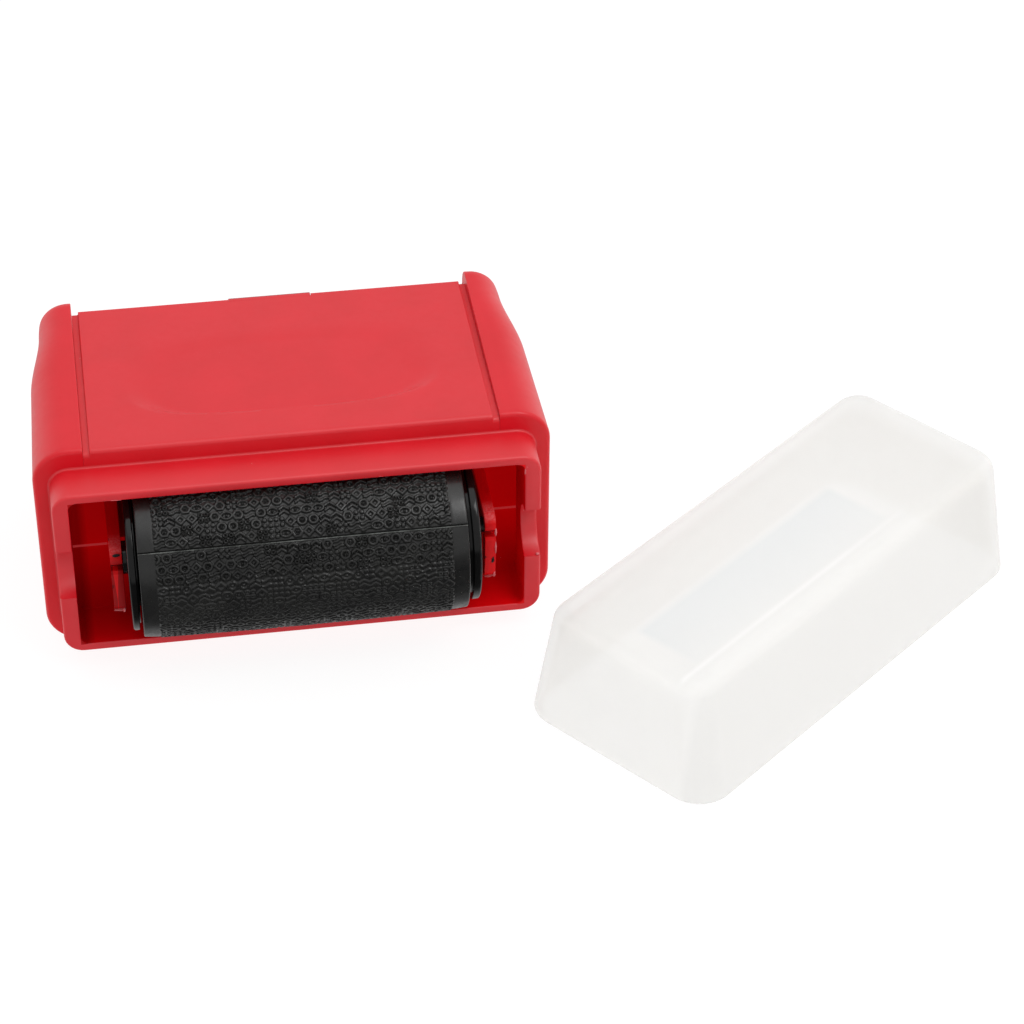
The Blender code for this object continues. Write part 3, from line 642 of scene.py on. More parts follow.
@dataclass(frozen=True, kw_only=True)
class GlowingInside(Moulded):
    """Moulded plastic that is a vivid red inside the mouth, painted with shade there and with a faint painted glow
    for the light that comes through it.
    """

    vivid: Colour
    origin: np.ndarray
    glow: float = 0.09
    half: Pair = (29.72, 11.75)
    middle_z: float = MIDDLE_Z
    rear_of: float = 7.45
    # painted shade inside the mouth: the shade across from left to right, the left wall's extra shade, and the side
    # walls' darkening towards the floor
    ends: Pair = (0.85, 0.94)
    left_wall_shade: float = 0.4
    low_shade_share: float = 0.85
    glow_ends: Pair = (0.5, 2.4)

    def marked(self, nodes: Surface, colour: Value) -> Value:
        """The colour with the vivid one inside: where |x| and |z| are less than the half sizes, or far back.

        The vivid colour is painted with shade: deeper on the left, and on both side walls deeper towards the floor.
        The painted glow grows towards the back, where the wall is thinnest.
        """
        across, up = nodes.axis("X", self.origin[0]), nodes.axis("Z", self.middle_z)
        aside, high = (abs(off).span(half - 0.03, half, 1.0, 0.0) for off, half in zip((across, up), self.half))
        back = nodes.axis("Y", self.origin[1] + self.rear_of)
        share = (aside * high).math("MAXIMUM", back.span(0.0, 0.05))
        width, height = self.half
        left_wall_shade = across.span(0.8 - width, 2.0 - width, 1.0 - self.left_wall_shade, 1.0)
        turn = across.span(-width, width, *self.ends) * left_wall_shade
        low = up.span(-height, 0.6 * height, 1.0 - self.low_shade_share, 0.0)
        depth = turn * (1.0 - abs(across).span(width - 2.0, width - 0.8) * low)
        # a painted glow: the inner walls emit the vivid colour, more towards the back
        nodes.shine(
            emission_strength=share * back.span(0.0, 10.0, *self.glow_ends) * (turn * self.glow),
            emission_color=self.vivid, specular_ior_level=share.span(0.0, 1.0, 0.85, 0.12),
        )
        # painted shade: the vivid colour blended towards black
        vivid = nodes.blend(depth, (0.0, 0.0, 0.0), self.vivid)
        return super().marked(nodes, nodes.blend(share, colour, vivid))


@dataclass(frozen=True, kw_only=True)
class Inked(Finish):
    """The cartridge's red plastic: a painted highlight along the arms' top front edge, painted shade on the left
    arm, a faint painted glow above the slots, and small dried ink spots by the rollers.
    """

    # the painted highlight along the arms' top front edge, and the dark colour of the ink spots and of the left
    # arm's painted shade
    top_highlight: Colour
    ink: Colour
    highlight_above: float
    highlight_rear: float
    middle_x: float
    shade: float = 0.68
    # the unshaded wedge on the left arm
    unshaded_x: float = -24.35
    unshaded_half: Pair = (0.06, 0.42)
    unshaded_z: Pair = (10.5, 16.3)
    shaded_to: Pair = (16.2, 18.0)
    glow: Pair = (0.12, 0.2)
    glow_z: Pair = (17.5, 19.5)

    def shaded(self, nodes: Surface, colour: Value) -> Value:
        """The colour darkened on the left arm in the ink's dark colour, partly painted shade from the left wall and
        partly ink stain, but for an unshaded wedge that narrows downwards below its slot.

        Above the slots a faint painted glow stands for the light that comes through the arms.
        """
        across, up = nodes.axis("X", self.middle_x), nodes.axis("Z")
        # painted shade on the left arm, mostly below the slot
        left = across.span(-1.0, 1.0, self.shade, 0.0) * up.span(*self.shaded_to, 1.0, 0.15)
        # painted glow above the slots
        nodes.shine(emission_strength=across.span(-1.0, 1.0, *self.glow) * up.span(*self.glow_z))
        half = up.span(*self.unshaded_z, *self.unshaded_half)
        top = self.unshaded_z[1]
        unshaded = (half - abs(across - self.unshaded_x)).span(0.0, 0.05) * up.span(top, top + 0.2, 1.0, 0.0)
        return nodes.blend(left * (1.0 - unshaded), colour, self.ink)

    def marked(self, nodes: Surface, colour: Value) -> Value:
        """The colour with its painted highlight along the top front edge, its painted shade and its ink spots."""
        # a painted highlight along the arms' upper front edge, broken up by noise
        front = nodes.axis("Y", self.highlight_rear).span(-1.5, 0.0, 1.0, 0.0)
        high = nodes.axis("Z", self.highlight_above).span(-0.8, 0.0)
        top_highlight = high * front * nodes.noise(0.3, 3.0).span(0.4, 0.62, 0.25, 0.8)
        colour = self.shaded(nodes, nodes.blend(top_highlight, colour, self.top_highlight))
        return nodes.blend(nodes.noise(1.3, 3.0).span(0.68, 0.72), colour, self.ink)


@dataclass(frozen=True, kw_only=True)
class Rubber(Finish):
    """Dark moulded rubber: uneven dull skin, fine pores, pale dust and a painted highlight along the lip beside the
    seam.
    """

    axis: Pair
    dust: Colour = (0.2, 0.2, 0.2)
    # the painted highlight along the seam lip: its colour, its turn about the axle and its half width
    lip: Colour = (0.17, 0.18, 0.17)
    seam_highlight_turn: float = 0.6839
    seam_highlight_half: float = 0.0045

    def marked(self, nodes: Surface, colour: Value) -> Value:
        """The colour with its dust and the painted highlight along its seam lip, which lies at one turn about the
        axle, in radians.
        """
        chosen = nodes.noise(3.0, 1.0).span(0.6, 0.62)
        colour = nodes.blend(nodes.dots(1.5, 0.02, 0.04) * chosen, colour, self.dust)
        turn = nodes.axis("Z", self.axis[1]).math("ARCTAN2", self.axis[0] - nodes.axis("Y"))
        # a painted highlight along the seam lip, broken into patches by noise
        edge_band_and_patches = nodes.noise(1.8, 2.0).span(0.4, 0.6, 0.35, 1.0)
        lip = abs(turn - self.seam_highlight_turn).span(self.seam_highlight_half, 1.6 * self.seam_highlight_half, 1.0, 0.0)
        return nodes.blend(lip * edge_band_and_patches, colour, self.lip)


@dataclass(frozen=True)
class Spun(Finish):
    """A piece turned about the axle: fine rings of tool marks across it, in metal or polished plastic."""

    clouds: tuple[float, float, float, float] = (2.0, 3.0, 0.3, 0.7)
    patches: Triple = (0.12, 3.0, 0.7)
    stretch: Triple = (1.0, 0.02, 0.02)
    marks: float = 0.004

    def relief(self, nodes: Surface) -> Value:
        """The rings."""
        return nodes.bump(nodes.noise(*self.patches[:2], self.stretch), self.marks)


@dataclass(frozen=True)
class Felt(Finish):
    """Ink-soaked felt, darker where the ink stands."""

    def relief(self, nodes: Surface) -> Value:
        """Matted fibres that run every way."""
        one_way, other_way = (nodes.noise(0.12, 3.0, way) for way in ((0.2, 1.0, 1.0), (1.0, 0.3, 0.6)))
        return nodes.bump(one_way.math("MAXIMUM", other_way), 0.05)


@dataclass(frozen=True, kw_only=True)
class Milky(Finish):
    """Milky see-through plastic: cloudy body, soft moulded skin with faint flow waves and rub marks."""

    middle: np.ndarray
    turn: float
    # painted shade: the closed face's greyer colour, a painted cool shade and a painted glint on that face, and the
    # near side's greyer colour
    closed: Colour = (0.78, 0.77, 0.752)
    closed_from: float = 16.9
    cool_shade: Colour = (0.66, 0.685, 0.70)
    cool_shade_middle: Pair = (-8.5, -4.0)
    cool_shade_half: Pair = (20.5, 5.4)
    cool_shade_edge: float = 1.2
    glint: Colour = (0.93, 0.93, 0.925)
    glint_half: float = 0.3
    glint_length: float = 16.0
    near_side_shade: Colour = (0.795, 0.782, 0.76)
    near_from: float = 11.3

    def marked(self, nodes: Surface, colour: Value) -> Value:
        """The colour with painted shade on the near side and the closed face, and on that face a faint painted cool
        shade and a painted glint.
        """
        x, y = (nodes.axis(name, place) for name, place in zip("XY", self.middle))
        cos, sin = math.cos(self.turn), math.sin(self.turn)
        along, across = x * cos + y * sin, y * cos - x * sin
        # painted cool shade on the closed face
        cool_shade = across.span(self.cool_shade_middle[1] - self.cool_shade_half[1], 0.0, 0.25, 1.0)
        for value, middle, half in zip((along, across), self.cool_shade_middle, self.cool_shade_half):
            cool_shade = cool_shade * abs(value - middle).span(half - self.cool_shade_edge, half, 1.0, 0.0)
        # a painted glint: a thin line along one long edge of the cool shade, fading along its length
        line = abs(across - (self.cool_shade_middle[1] - self.cool_shade_half[1])).span(0.0, 2 * self.glint_half, 0.6, 0.0)
        glint = line * along.span(0.0, self.glint_length, 1.0, 0.0)
        near = across.span(-(self.near_from + 1.0), -self.near_from, 1.0, 0.0)
        top = nodes.axis("Z", self.closed_from).span(0.0, 0.7)
        colour = nodes.blend(top, nodes.blend(near, colour, self.near_side_shade), self.closed)
        return nodes.blend(top * glint, nodes.blend(top * cool_shade, colour, self.cool_shade), self.glint)


@dataclass(frozen=True)
class Coat:
    """A material and the record's slot that it belongs to."""

    material: bpy.types.Material
    slot: Slot


class Finishes:
    """Every coat of the set."""

    def __init__(self, origin: np.ndarray, cap_middle: np.ndarray) -> None:
        """Writes all the materials, with their zones set by the stamp's and the cap's places."""
        red, flow = (0.69, 0.003, 0.012), (0.73, 0.004, 0.015)
        face, panel_rear, tab_rear = (
            origin[1] + y for y in (Housing.face_y, Housing.panel_rear_y - 0.05, Cartridge.tab_rear - 0.15)
        )
        panel = Moulded(
            "panel_red", red, flow, (0.39, 0.45), layers=((3.2, 1.0, 0.002), (0.24, 2.0, 0.004)), specks=0.025,
            lustre=(("specular_ior_level", 0.72),), rough_edge=(face + 0.8, face + 3.0), dark_rear_edge=panel_rear,
        )
        cover = replace(panel, name="cover_red", rough_edge=None, dark_rear_edge=tab_rear)
        cheek = Moulded("cheek_red", red, flow, (0.33, 0.39), specks=0.004)
        # inside the mouth the neck's colour carries painted shade and a painted glow
        neck = GlowingInside(
            "neck_red", red, flow, (0.39, 0.45), specks=0.02, vivid=(0.82, 0.001, 0.004), origin=origin
        )
        # the arms carry a painted highlight on their top front edge, painted shade on the left arm and a faint
        # painted glow
        cartridge = Inked(
            "cartridge_red", (0.80, 0.003, 0.006), (0.72, 0.002, 0.005), (0.35, 0.48), (3.5, 3.0, 0.35, 0.68),
            (0.9, 3.0, 0.7), layers=((1.6, 2.0, 0.004), (0.2, 2.0, 0.003)),
            lustre=(("specular_ior_level", 0.15), ("emission_color", (0.80, 0.003, 0.006))),
            top_highlight=(0.86, 0.16, 0.17), ink=(0.16, 0.002, 0.003), highlight_above=18.4, highlight_rear=origin[1] + 4.6,
            middle_x=origin[0],
        )
        burr = Moulded("burr_pink", (0.86, 0.30, 0.32), (0.80, 0.12, 0.14), (0.47, 0.53), specks=0.0)
        # painted highlight: a pale pink with a faint glow, for the lit line where the back wall meets the floor
        foot = Moulded(
            "foot_pink", (0.80, 0.07, 0.08), (0.76, 0.05, 0.06), (0.47, 0.53), specks=0.0,
            lustre=(("emission_color", (0.80, 0.07, 0.08)), ("emission_strength", 0.22)),
        )
        rubber = Rubber(
            "stamp_rubber", (0.0085, 0.0085, 0.0085), (0.015, 0.015, 0.014), (0.24, 0.36), (4.0, 4.0, 0.35, 0.7),
            (0.8, 3.0, 0.7), layers=((0.5, 3.0, 0.006), (0.09, 2.0, 0.002)),
            axis=(origin[1] + STAMP_AXLE[0], MIDDLE_Z),
        )
        disc = Spun(
            "flange_black", (0.003, 0.003, 0.003), (0.005, 0.005, 0.005), (0.091, 0.169), marks=0.001,
            lustre=(("specular_ior_level", 0.3),),
        )
        core = Spun("core_black", (0.006, 0.006, 0.006), (0.01, 0.01, 0.01), (0.315, 0.585))
        felt = Felt(
            "ink_felt", (0.004, 0.004, 0.006), (0.012, 0.012, 0.016), (0.55, 0.95), (3.0, 4.0, 0.35, 0.7),
            (2.0, 2.0, 0.7), lustre=(("sheen_weight", 0.25), ("sheen_roughness", 0.6)),
        )
        steel = Spun(
            "pin_steel", (0.62, 0.63, 0.65), (0.5, 0.51, 0.53), (0.196, 0.364), marks=0.003,
            lustre=(("metallic", 1.0),),
        )
        # the cap's faint white emission is a painted glow that stands for light through the milky plastic
        milky = Milky(
            "cap_milky", (0.88, 0.865, 0.84), (0.86, 0.85, 0.83), (0.31, 0.44), (9.0, 3.0, 0.3, 0.7),
            (0.7, 4.0, 0.75), (0.6, 1.0, 1.0), ((3.0, 2.0, 0.008), (0.25, 2.0, 0.001)), (
                ("alpha", 0.5), ("transmission_weight", 0.3), ("ior", 1.4), ("specular_ior_level", 0.3),
                ("emission_color", (1.0, 1.0, 0.98)), ("emission_strength", 0.08),
            ), middle=cap_middle[:2], turn=math.radians(Cap.turn_degrees),
        )
        shell, inner = Slot.RED_SHELL, Slot.RED_INNER
        self.panel, self.cover, self.cheek = (Coat(finish.build(), shell) for finish in (panel, cover, cheek))
        self.neck, self.cartridge, self.burr, self.foot = (
            Coat(finish.build(), inner) for finish in (neck, cartridge, burr, foot)
        )
        self.rubber = Coat(rubber.build(), Slot.STAMP_RUBBER)
        self.disc = Coat(disc.build(), Slot.GLOSS_BLACK)
        self.core = Coat(core.build(), Slot.CORE_BLACK)
        self.felt = Coat(felt.build(), Slot.INK_FELT)
        self.steel = Coat(steel.build(), Slot.STEEL)
        self.milky = Coat(milky.build(), Slot.MILKY_CAP)


@dataclass(frozen=True)
class Bench:
    """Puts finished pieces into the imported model's frame. Both its places are in millimetres."""

    origin: np.ndarray
    cap_middle: np.ndarray

    @classmethod
    def from_frame(cls) -> "Bench":
        """Reads the stamp's and the cap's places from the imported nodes."""
        shell, rim, cap = (np.array(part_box(node)) / MM for node in ("handle_shell", "mouth_frame", "cap"))
        flat = (1.0, 1.0, 0.0)
        return cls(np.array((shell.mean(axis=0)[0], rim[0, 1], 0.0)), cap.mean(axis=0) * flat)

    def add(self, body: Body, name: str, solids: list[Solid], coat: Coat, node: str) -> None:
        """Writes a piece's mesh and says what it rides on and stands for.

        Args:
            body: The body that it moves with.
            name: The piece's name.
            solids: Its closed surfaces, in the stamp's frame.
            coat: Its finish.
            node: The CAD node that it stands for.
        """
        starts = np.cumsum([0] + [len(solid.points) for solid in solids])
        points = (np.concatenate([solid.points for solid in solids]) + self.origin) * MM
        faces = np.concatenate([solid.quads + start for solid, start in zip(solids, starts)]).tolist()
        for solid, start in zip(solids, starts):
            faces += [[int(start) + corner for corner in face] for face in solid.others]
        mesh = bpy.data.meshes.new(name)
        mesh.from_pydata(points, [], faces)
        mesh.shade_smooth()
        mesh.set_sharp_from_angle(angle=SHARP_ANGLE)
        mesh.materials.append(coat.material)
        piece = bpy.data.objects.new(name, mesh)
        bpy.context.scene.collection.objects.link(piece)
        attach(piece, body.value)
        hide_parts(node)
        LOG.info("%s: %d faces, rides on %s, stands for %s", name, len(faces), body.value, node)


# ---------------------------------------------------------------------------------------------------
# The stamp


@dataclass
class Housing:
    """The red outer mouldings: two panels on side walls, two end cheeks and the neck with its mouth."""

    half_width: float = 33.98
    half_height: float = MIDDLE_Z
    corner: float = 4.8
    edge: float = 0.6
    face_y: float = 5.9
    cheek_rear_y: float = 41.7
    cheek_wall: float = 1.3
    cheek_broad_wall: float = 1.5
    cheek_front_wall: float = 1.5
    cheek_rear_wall: float = 3.2
    rear_corner: float = 3.8
    rear_ease: float = 2.7
    rear_draw_in: float = 1.0
    rear_drop: float = 3.2
    shoulder_half: float = 33.45
    shoulder_y: float = 24.0
    shoulder_length: float = 13.5
    waist_half: float = 31.9
    tail_half: float = 31.6
    seam_x: float = 27.2
    seam_ease: float = 0.14

    panel_half: float = 26.3
    panel_front: float = 15.6
    panel_rear: float = 14.9
    panel_rear_y: float = 39.0
    panel_rear_ease: float = 0.3
    channel_depth: float = 0.5
    channel_ease: float = 0.12
    shell_inside: float = 13.25
    side_wall_in: float = 26.1
    side_wall_out: float = 26.9
    side_wall_y: float = 22.5
    notch_half: float = 5.7
    notch_y: float = 38.25
    dimple_half: float = 21.6
    dimple_width: float = 19.8
    dimple_front_y: float = 11.9
    dimple_depth: float = 0.9
    dimple_power: float = 3.4
    dimple_ease: float = 0.07
    dimple_rear_ease: float = 0.5

    neck_half: float = 31.85
    neck_half_height: float = 12.95
    neck_corner: float = 2.6
    neck_edge: float = 0.4
    neck_end_y: float = 7.4
    mouth_half: float = 29.65
    mouth_half_height: float = 11.7
    mouth_corner: float = 1.1
    mouth_edge: float = 0.2
    fillet: float = 0.3
    burrs: Crumbs = (
        ((29.72, 0.1, 26.4), (0.1, 0.14, 0.55)),
        ((29.95, 0.1, 27.1), (0.14, 0.12, 0.16)),
        ((31.6, 0.5, 19.9), (0.2, 0.3, 0.16)),
        ((31.5, 0.3, 12.2), (0.22, 0.2, 0.14)),
        ((31.7, 0.5, 11.7), (0.1, 0.2, 0.22)),
        ((10.6, 0.1, 27.7), (0.5, 0.1, 0.08)),
        ((-23.5, 0.1, 27.6), (0.9, 0.1, 0.1)),
        ((-30.2, 0.2, 27.1), (0.1, 0.16, 0.24)),
    )
    grip_radius: float = 3.9
    grip_height: float = 0.2
    grip_edge: float = 0.14
    cavity_y: float = 21.0
    cavity_rear_y: float = 22.2
    cavity_half: float = 32.6
    back_in: Pair = (24.99, 26.1)
    ledge: float = 0.22

    def side_half(self, y: np.ndarray) -> np.ndarray:
        """Half the width over the cheeks: a straight side, an eased shoulder, then a straight tail."""
        waist_y = self.shoulder_y + self.shoulder_length
        straight = np.interp(
            y, (self.face_y, self.shoulder_y, waist_y, self.cheek_rear_y),
            (self.half_width, self.shoulder_half, self.waist_half, self.tail_half),
        )
        share = smooth_step((y - self.shoulder_y) / self.shoulder_length)
        eased = self.shoulder_half + (self.waist_half - self.shoulder_half) * share
        return np.where((y > self.shoulder_y) & (y < waist_y), eased, straight)

    def corner_at(self, y: float) -> float:
        """The outline's corner radius at a depth."""
        return float(np.interp(y, (self.face_y, self.cheek_rear_y), (self.corner, self.rear_corner)))

    def cheek(self, side: Side) -> Solid:
        """One end cheek as a wall between an outer and an inner grid.

        Across the rows goes the outline beyond the seam. The rows run over the front face from the
        neck's hole, round the front edge, along the eased side, round the rear by a quarter of an
        ellipse and to the seam's plane. The outline's corner radius falls evenly to the rear.
        """
        near, count, gap, small = self.seam_x, 108, 0.04, 0.02
        outer, inner = [], []

        def row(half_u: float, half_v: float, radius: float, y: float, ease: float) -> np.ndarray:
            """The cut outline of a size, at a depth."""
            return along_y(clipped_side((half_u, half_v, radius), near, ease, count), y, self.half_height)

        hole = (self.neck_half + gap, self.neck_half_height + gap, self.neck_corner + gap)
        inner_front = self.face_y + self.cheek_front_wall
        inner_rear = self.cheek_rear_y - self.cheek_rear_wall
        drawn = self.half_width - self.edge, self.half_height - self.edge, self.corner - self.edge
        inside = self.half_height - self.cheek_broad_wall, self.rear_corner - self.cheek_wall
        front = row(*hole, self.face_y, small), row(*drawn, self.face_y, small)
        inside_half = float(self.side_half(inner_front)) - self.cheek_wall
        back = row(*hole, inner_front, small), row(inside_half, *inside, inner_front, small)
        for share in (0.0, 0.03, 0.5, 0.93):
            outer.append(front[0] * (1 - share) + front[1] * share)
            inner.append(back[0] * (1 - share) + back[1] * share)
        for turn in np.linspace(0, QUARTER, 7):
            inset = self.edge * (1 - math.sin(turn))
            y = self.face_y + self.edge * (1 - math.cos(turn))
            ease = max(self.seam_ease * math.sin(turn), small)
            outer.append(row(self.half_width - inset, self.half_height - inset, self.corner - inset, y, ease))
            inner.append(back[1] + (0, 0.02 * turn, 0))
        rear_start = self.cheek_rear_y - self.rear_ease
        for y in np.linspace(self.face_y + self.edge, rear_start, 60)[1:]:
            radius = self.corner_at(y)
            outer.append(row(float(self.side_half(y)), self.half_height, radius, y, self.seam_ease))
            share = (y - self.face_y) / (rear_start - self.face_y)
            depth = inner_front + 0.1 + share * (inner_rear - inner_front - 0.4)
            half = float(self.side_half(depth)) - self.cheek_wall
            inner.append(row(half, *inside, depth, small))
        half = float(self.side_half(inner_rear)) - self.cheek_wall
        back = row(half, *inside, inner_rear, small)
        for turn in np.linspace(0, QUARTER, 12)[1:]:
            y = rear_start + self.rear_ease * math.sin(turn)
            drop = 1 - math.cos(turn)
            width = float(self.side_half(y)) - self.rear_draw_in * drop
            outer.append(row(width, self.half_height - self.rear_drop * drop, self.corner_at(y), y, self.seam_ease))
            inner.append(back - (0, 0.2 * (1 - math.sin(turn)), 0))
        for grid, end_y in ((outer, self.cheek_rear_y), (inner, inner_rear)):
            last = grid[-1]
            for share in (0.5, 1.0):
                across = last[:, 0] * (1 - share) + near * share
                grid.append(np.stack((across, np.full(len(last), end_y), last[:, 2]), axis=-1))
        return walled(*(np.array(grid) * (side.value, 1, 1) for grid in (outer, inner)))

    def dimple(self, x: np.ndarray, y: np.ndarray) -> np.ndarray:
        """How deep the oval thumb dimple is.

        r is the distance in a rounded oval, (|x/a|^p + |y/b|^p)^(1/p). The depth runs out evenly towards
        the rear, and is eased over a band inside r = 1 that widens from the front to the rear.
        """
        half = self.dimple_width / 2
        across = np.abs(x) / self.dimple_half
        along = np.abs(y - self.dimple_front_y - half) / half
        radius = (across**self.dimple_power + along**self.dimple_power) ** (1 / self.dimple_power)
        fade = np.clip(1 - (y - self.dimple_front_y) / self.dimple_width, 0, 1)
        ease = self.dimple_ease + (self.dimple_rear_ease - self.dimple_ease) * (1 - fade)
        return self.dimple_depth * fade * smooth_step((1 - radius) / ease)

    def panel(self, upper: bool) -> Solid:
        """One panel as a height over (x, y).

        The cross profile steps down into a channel at both ends. Along y the height falls evenly to the
        rear, rounds off at both edges and sinks into the dimple. The upper one has a notch for the tab.
        """
        ease, deep = self.channel_ease, self.channel_depth
        edge_x = self.panel_half
        turns = np.linspace(0, QUARTER, 5)
        rim_x = edge_x - ease + ease * np.cos(turns)
        rim_drop = ease * (1 - np.sin(turns))
        channel_x = (self.seam_x - 0.03, self.seam_x - 0.3, edge_x + 0.16, edge_x + 0.04, edge_x)
        side_x = np.concatenate((channel_x, rim_x))
        side_drop = np.concatenate(((deep, deep, deep, deep - 0.04, deep - 0.14), rim_drop))
        inner_x = np.linspace(edge_x - ease, self.notch_half, 70)[1:-1]
        middle_x = np.linspace(self.notch_half, -self.notch_half, 34)
        x = np.concatenate((side_x, inner_x, middle_x, -inner_x[::-1], -side_x[::-1]))
        drop = np.concatenate((side_drop, np.zeros(len(inner_x) * 2 + len(middle_x)), side_drop[::-1]))
        turns = np.linspace(0, QUARTER, 7)
        front_y = self.face_y + self.edge * (1 - np.cos(turns))
        front_drop = self.edge * (1 - np.sin(turns))
        rear_ease = self.panel_rear_ease
        rear_y = self.panel_rear_y - rear_ease * (1 - np.cos(turns[::-1]))
        rear_drop = rear_ease * (1 - np.sin(turns[::-1]))
        middle = np.linspace(front_y[-1], self.notch_y, 96)[1:-1]
        y = np.concatenate((front_y, middle, (self.notch_y, (self.notch_y + rear_y[0]) / 2), rear_y))
        y_drop = np.concatenate((front_drop, np.zeros(len(middle) + 2), rear_drop))
        half = np.interp(y, (self.face_y, self.panel_rear_y), (self.panel_front, self.panel_rear))
        xs, ys = np.meshgrid(x, y, indexing="ij")
        height = half[None] - y_drop[None] - drop[:, None] - self.dimple(xs, ys)
        sign = 1 if upper else -1
        top = np.stack((xs, ys, self.half_height + sign * height), axis=-1)
        bottom = np.stack((xs, ys, np.full_like(xs, self.half_height + sign * self.shell_inside)), axis=-1)
        keep = np.ones((len(x) - 1, len(y) - 1), bool)
        if upper:
            centre_x, centre_y = (x[1:] + x[:-1]) / 2, (y[1:] + y[:-1]) / 2
            keep = ~((np.abs(centre_x) < self.notch_half)[:, None] & (centre_y > self.notch_y)[None])
        return walled(top, bottom, keep)

    def side_wall(self, side: Side) -> Solid:
        """The wall behind the mouth that joins the two panels."""
        mid, reach = self.half_height, self.shell_inside + 0.2
        low = (side.value * self.side_wall_in, self.side_wall_y, mid - reach)
        high = (side.value * self.side_wall_out, self.panel_rear_y - 0.1, mid + reach)
        return block(low, high, 0.15, 0.15)

    def neck_ring(self, size: Triple, front: float, round_over: float = 0.0) -> np.ndarray:
        """A ring round the neck, whose short sides step back round the grip notch.

        The notch is a half circle open to the front: at a height z from its middle its edge lies at
        y = sqrt(r.r - z.z). A ring that would lie in front of that edge is set back to it, plus how
        far it lies behind the rim, up to the size of the notch's own round edge. Twelve points lie
        close together at each end of the notch, where its edge meets the rim.

        Args:
            size: Half width, half height and corner radius.
            front: The ring's depth away from the notch.
            round_over: The ring's set-back behind the notch's edge.

        Returns:
            Points (count, 3).
        """
        half_u, half_v, corner = size
        straight = half_v - corner
        close = np.linspace(60, 90, 13)
        turns = np.radians(np.concatenate((-close[::-1], np.linspace(-60, 60, 33)[1:-1], close)))
        notch = self.grip_radius * np.sin(turns) + self.grip_height
        low, high = notch[0], notch[-1]
        heights = np.concatenate((
            np.linspace(-straight, low - 0.05, 9)[1:], (low - 0.01,), notch, (high + 0.01,),
            np.linspace(high + 0.05, straight, 9)[:-1],
        ))
        ring = rectangle(half_u, half_v, corner, 8, 72, heights / straight)
        reach = self.grip_radius**2 - (ring[:, 1] - self.grip_height) ** 2
        cut = np.where(np.abs(ring[:, 0]) > half_u - 0.01, np.sqrt(np.maximum(reach, 0.0)), 0.0)
        points = along_y(ring, front, self.half_height)
        points[:, 1] = np.where(cut > 0, np.maximum(points[:, 1], cut + round_over), points[:, 1])
        return points

    def neck(self) -> Solid:
        """The neck's tube: a closed cross-section carried round the ring.

        Outside: from inside the body forward, a small fillet against the body's face, the straight
        side and the rounded rim. Inside: the rim's inner edge and the mouth's straight wall.
        """
        outside = np.array((self.neck_half, self.neck_half_height, self.neck_corner))
        inside = np.array((self.mouth_half, self.mouth_half_height, self.mouth_corner))
        body, grip = self.face_y - self.fillet, self.grip_edge
        rows = [self.neck_ring(outside, self.neck_end_y), self.neck_ring(outside, self.face_y + 0.02)]
        for turn in np.linspace(0, QUARTER, 5):
            y = self.face_y - self.fillet * (1 - math.cos(turn))
            rows.append(self.neck_ring(outside + self.fillet * (1 - math.sin(turn)), y))
        for share in (0.95, 0.6, 0.2):
            y = self.neck_edge + (body - self.neck_edge) * share
            rows.append(self.neck_ring(outside, y, grip + (body - self.grip_radius - grip) * share))
        for turn in np.linspace(0, QUARTER, 6):
            ahead = 1 - math.sin(turn)
            size = outside - self.neck_edge * (1 - math.cos(turn))
            rows.append(self.neck_ring(size, self.neck_edge * ahead, grip * ahead))
        for turn in np.linspace(0, QUARTER, 4):
            behind = 1 - math.cos(turn)
            size = inside + self.mouth_edge * (1 - math.sin(turn))
            rows.append(self.neck_ring(size, self.mouth_edge * behind, grip * behind))
        first, far = 1.5, self.neck_end_y - self.grip_radius - 0.5
        for y in (first, 3.5, 5.5, self.neck_end_y):
            share = (y - first) / (self.neck_end_y - first)
            rows.append(self.neck_ring(inside, y, grip + 0.2 + far * share))
        return looped(np.array(rows))

    def cavity(self) -> list[Solid]:
        """The floor and ceiling behind the mouth, and the back wall on both sides."""
        mid, half, rear = self.half_height, self.cavity_half, self.cavity_rear_y
        low, high = self.mouth_half_height, self.neck_half_height
        plates = [
            block((-half, self.neck_end_y, mid + sign * low), (half, rear, mid + sign * high), 0.1, 0.1)
            for sign in (-1, 1)
        ]
        for side, near in zip(Side, self.back_in):
            start = (side.value * near, self.cavity_y, mid - low - 0.1)
            plates.append(block(start, (side.value * half, rear, mid + low + 0.1), 0.15, 0.15))
        return plates

    def highlight_ledges(self) -> list[Solid]:
        """A thin pale ledge where the back wall meets the floor, on both sides, coloured as a painted highlight
        line.
        """
        low, front = self.half_height - self.mouth_half_height, self.cavity_y - self.ledge
        far = (self.cavity_half - 0.1, self.cavity_y + 0.1, low + self.ledge)
        return [
            block((side.value * (near + 0.1), front, low - 0.1), (side.value * far[0], *far[1:]), 0.1, 0.1, 0)
            for side, near in zip(Side, self.back_in)
        ]

    def assemble(self, bench: Bench, finishes: Finishes) -> None:
        """Builds and dresses the housing's pieces."""
        body = Body.HOUSING
        shell = [self.panel(True), self.panel(False), *(self.side_wall(side) for side in Side)]
        bench.add(body, "panels", shell, finishes.panel, "handle_shell")
        for side in Side:
            name = side.name.lower()
            bench.add(body, f"{name}_end_cheek", [self.cheek(side)], finishes.cheek, f"{name}_cheek")
        bench.add(body, "neck_and_mouth", [self.neck(), *self.cavity()], finishes.neck, "mouth_frame")
        bench.add(body, "mouth_highlight_ledges", self.highlight_ledges(), finishes.foot, "mouth_frame")
        bench.add(body, "neck_burrs", shreds(self.burrs, 0), finishes.burr, "mouth_frame")


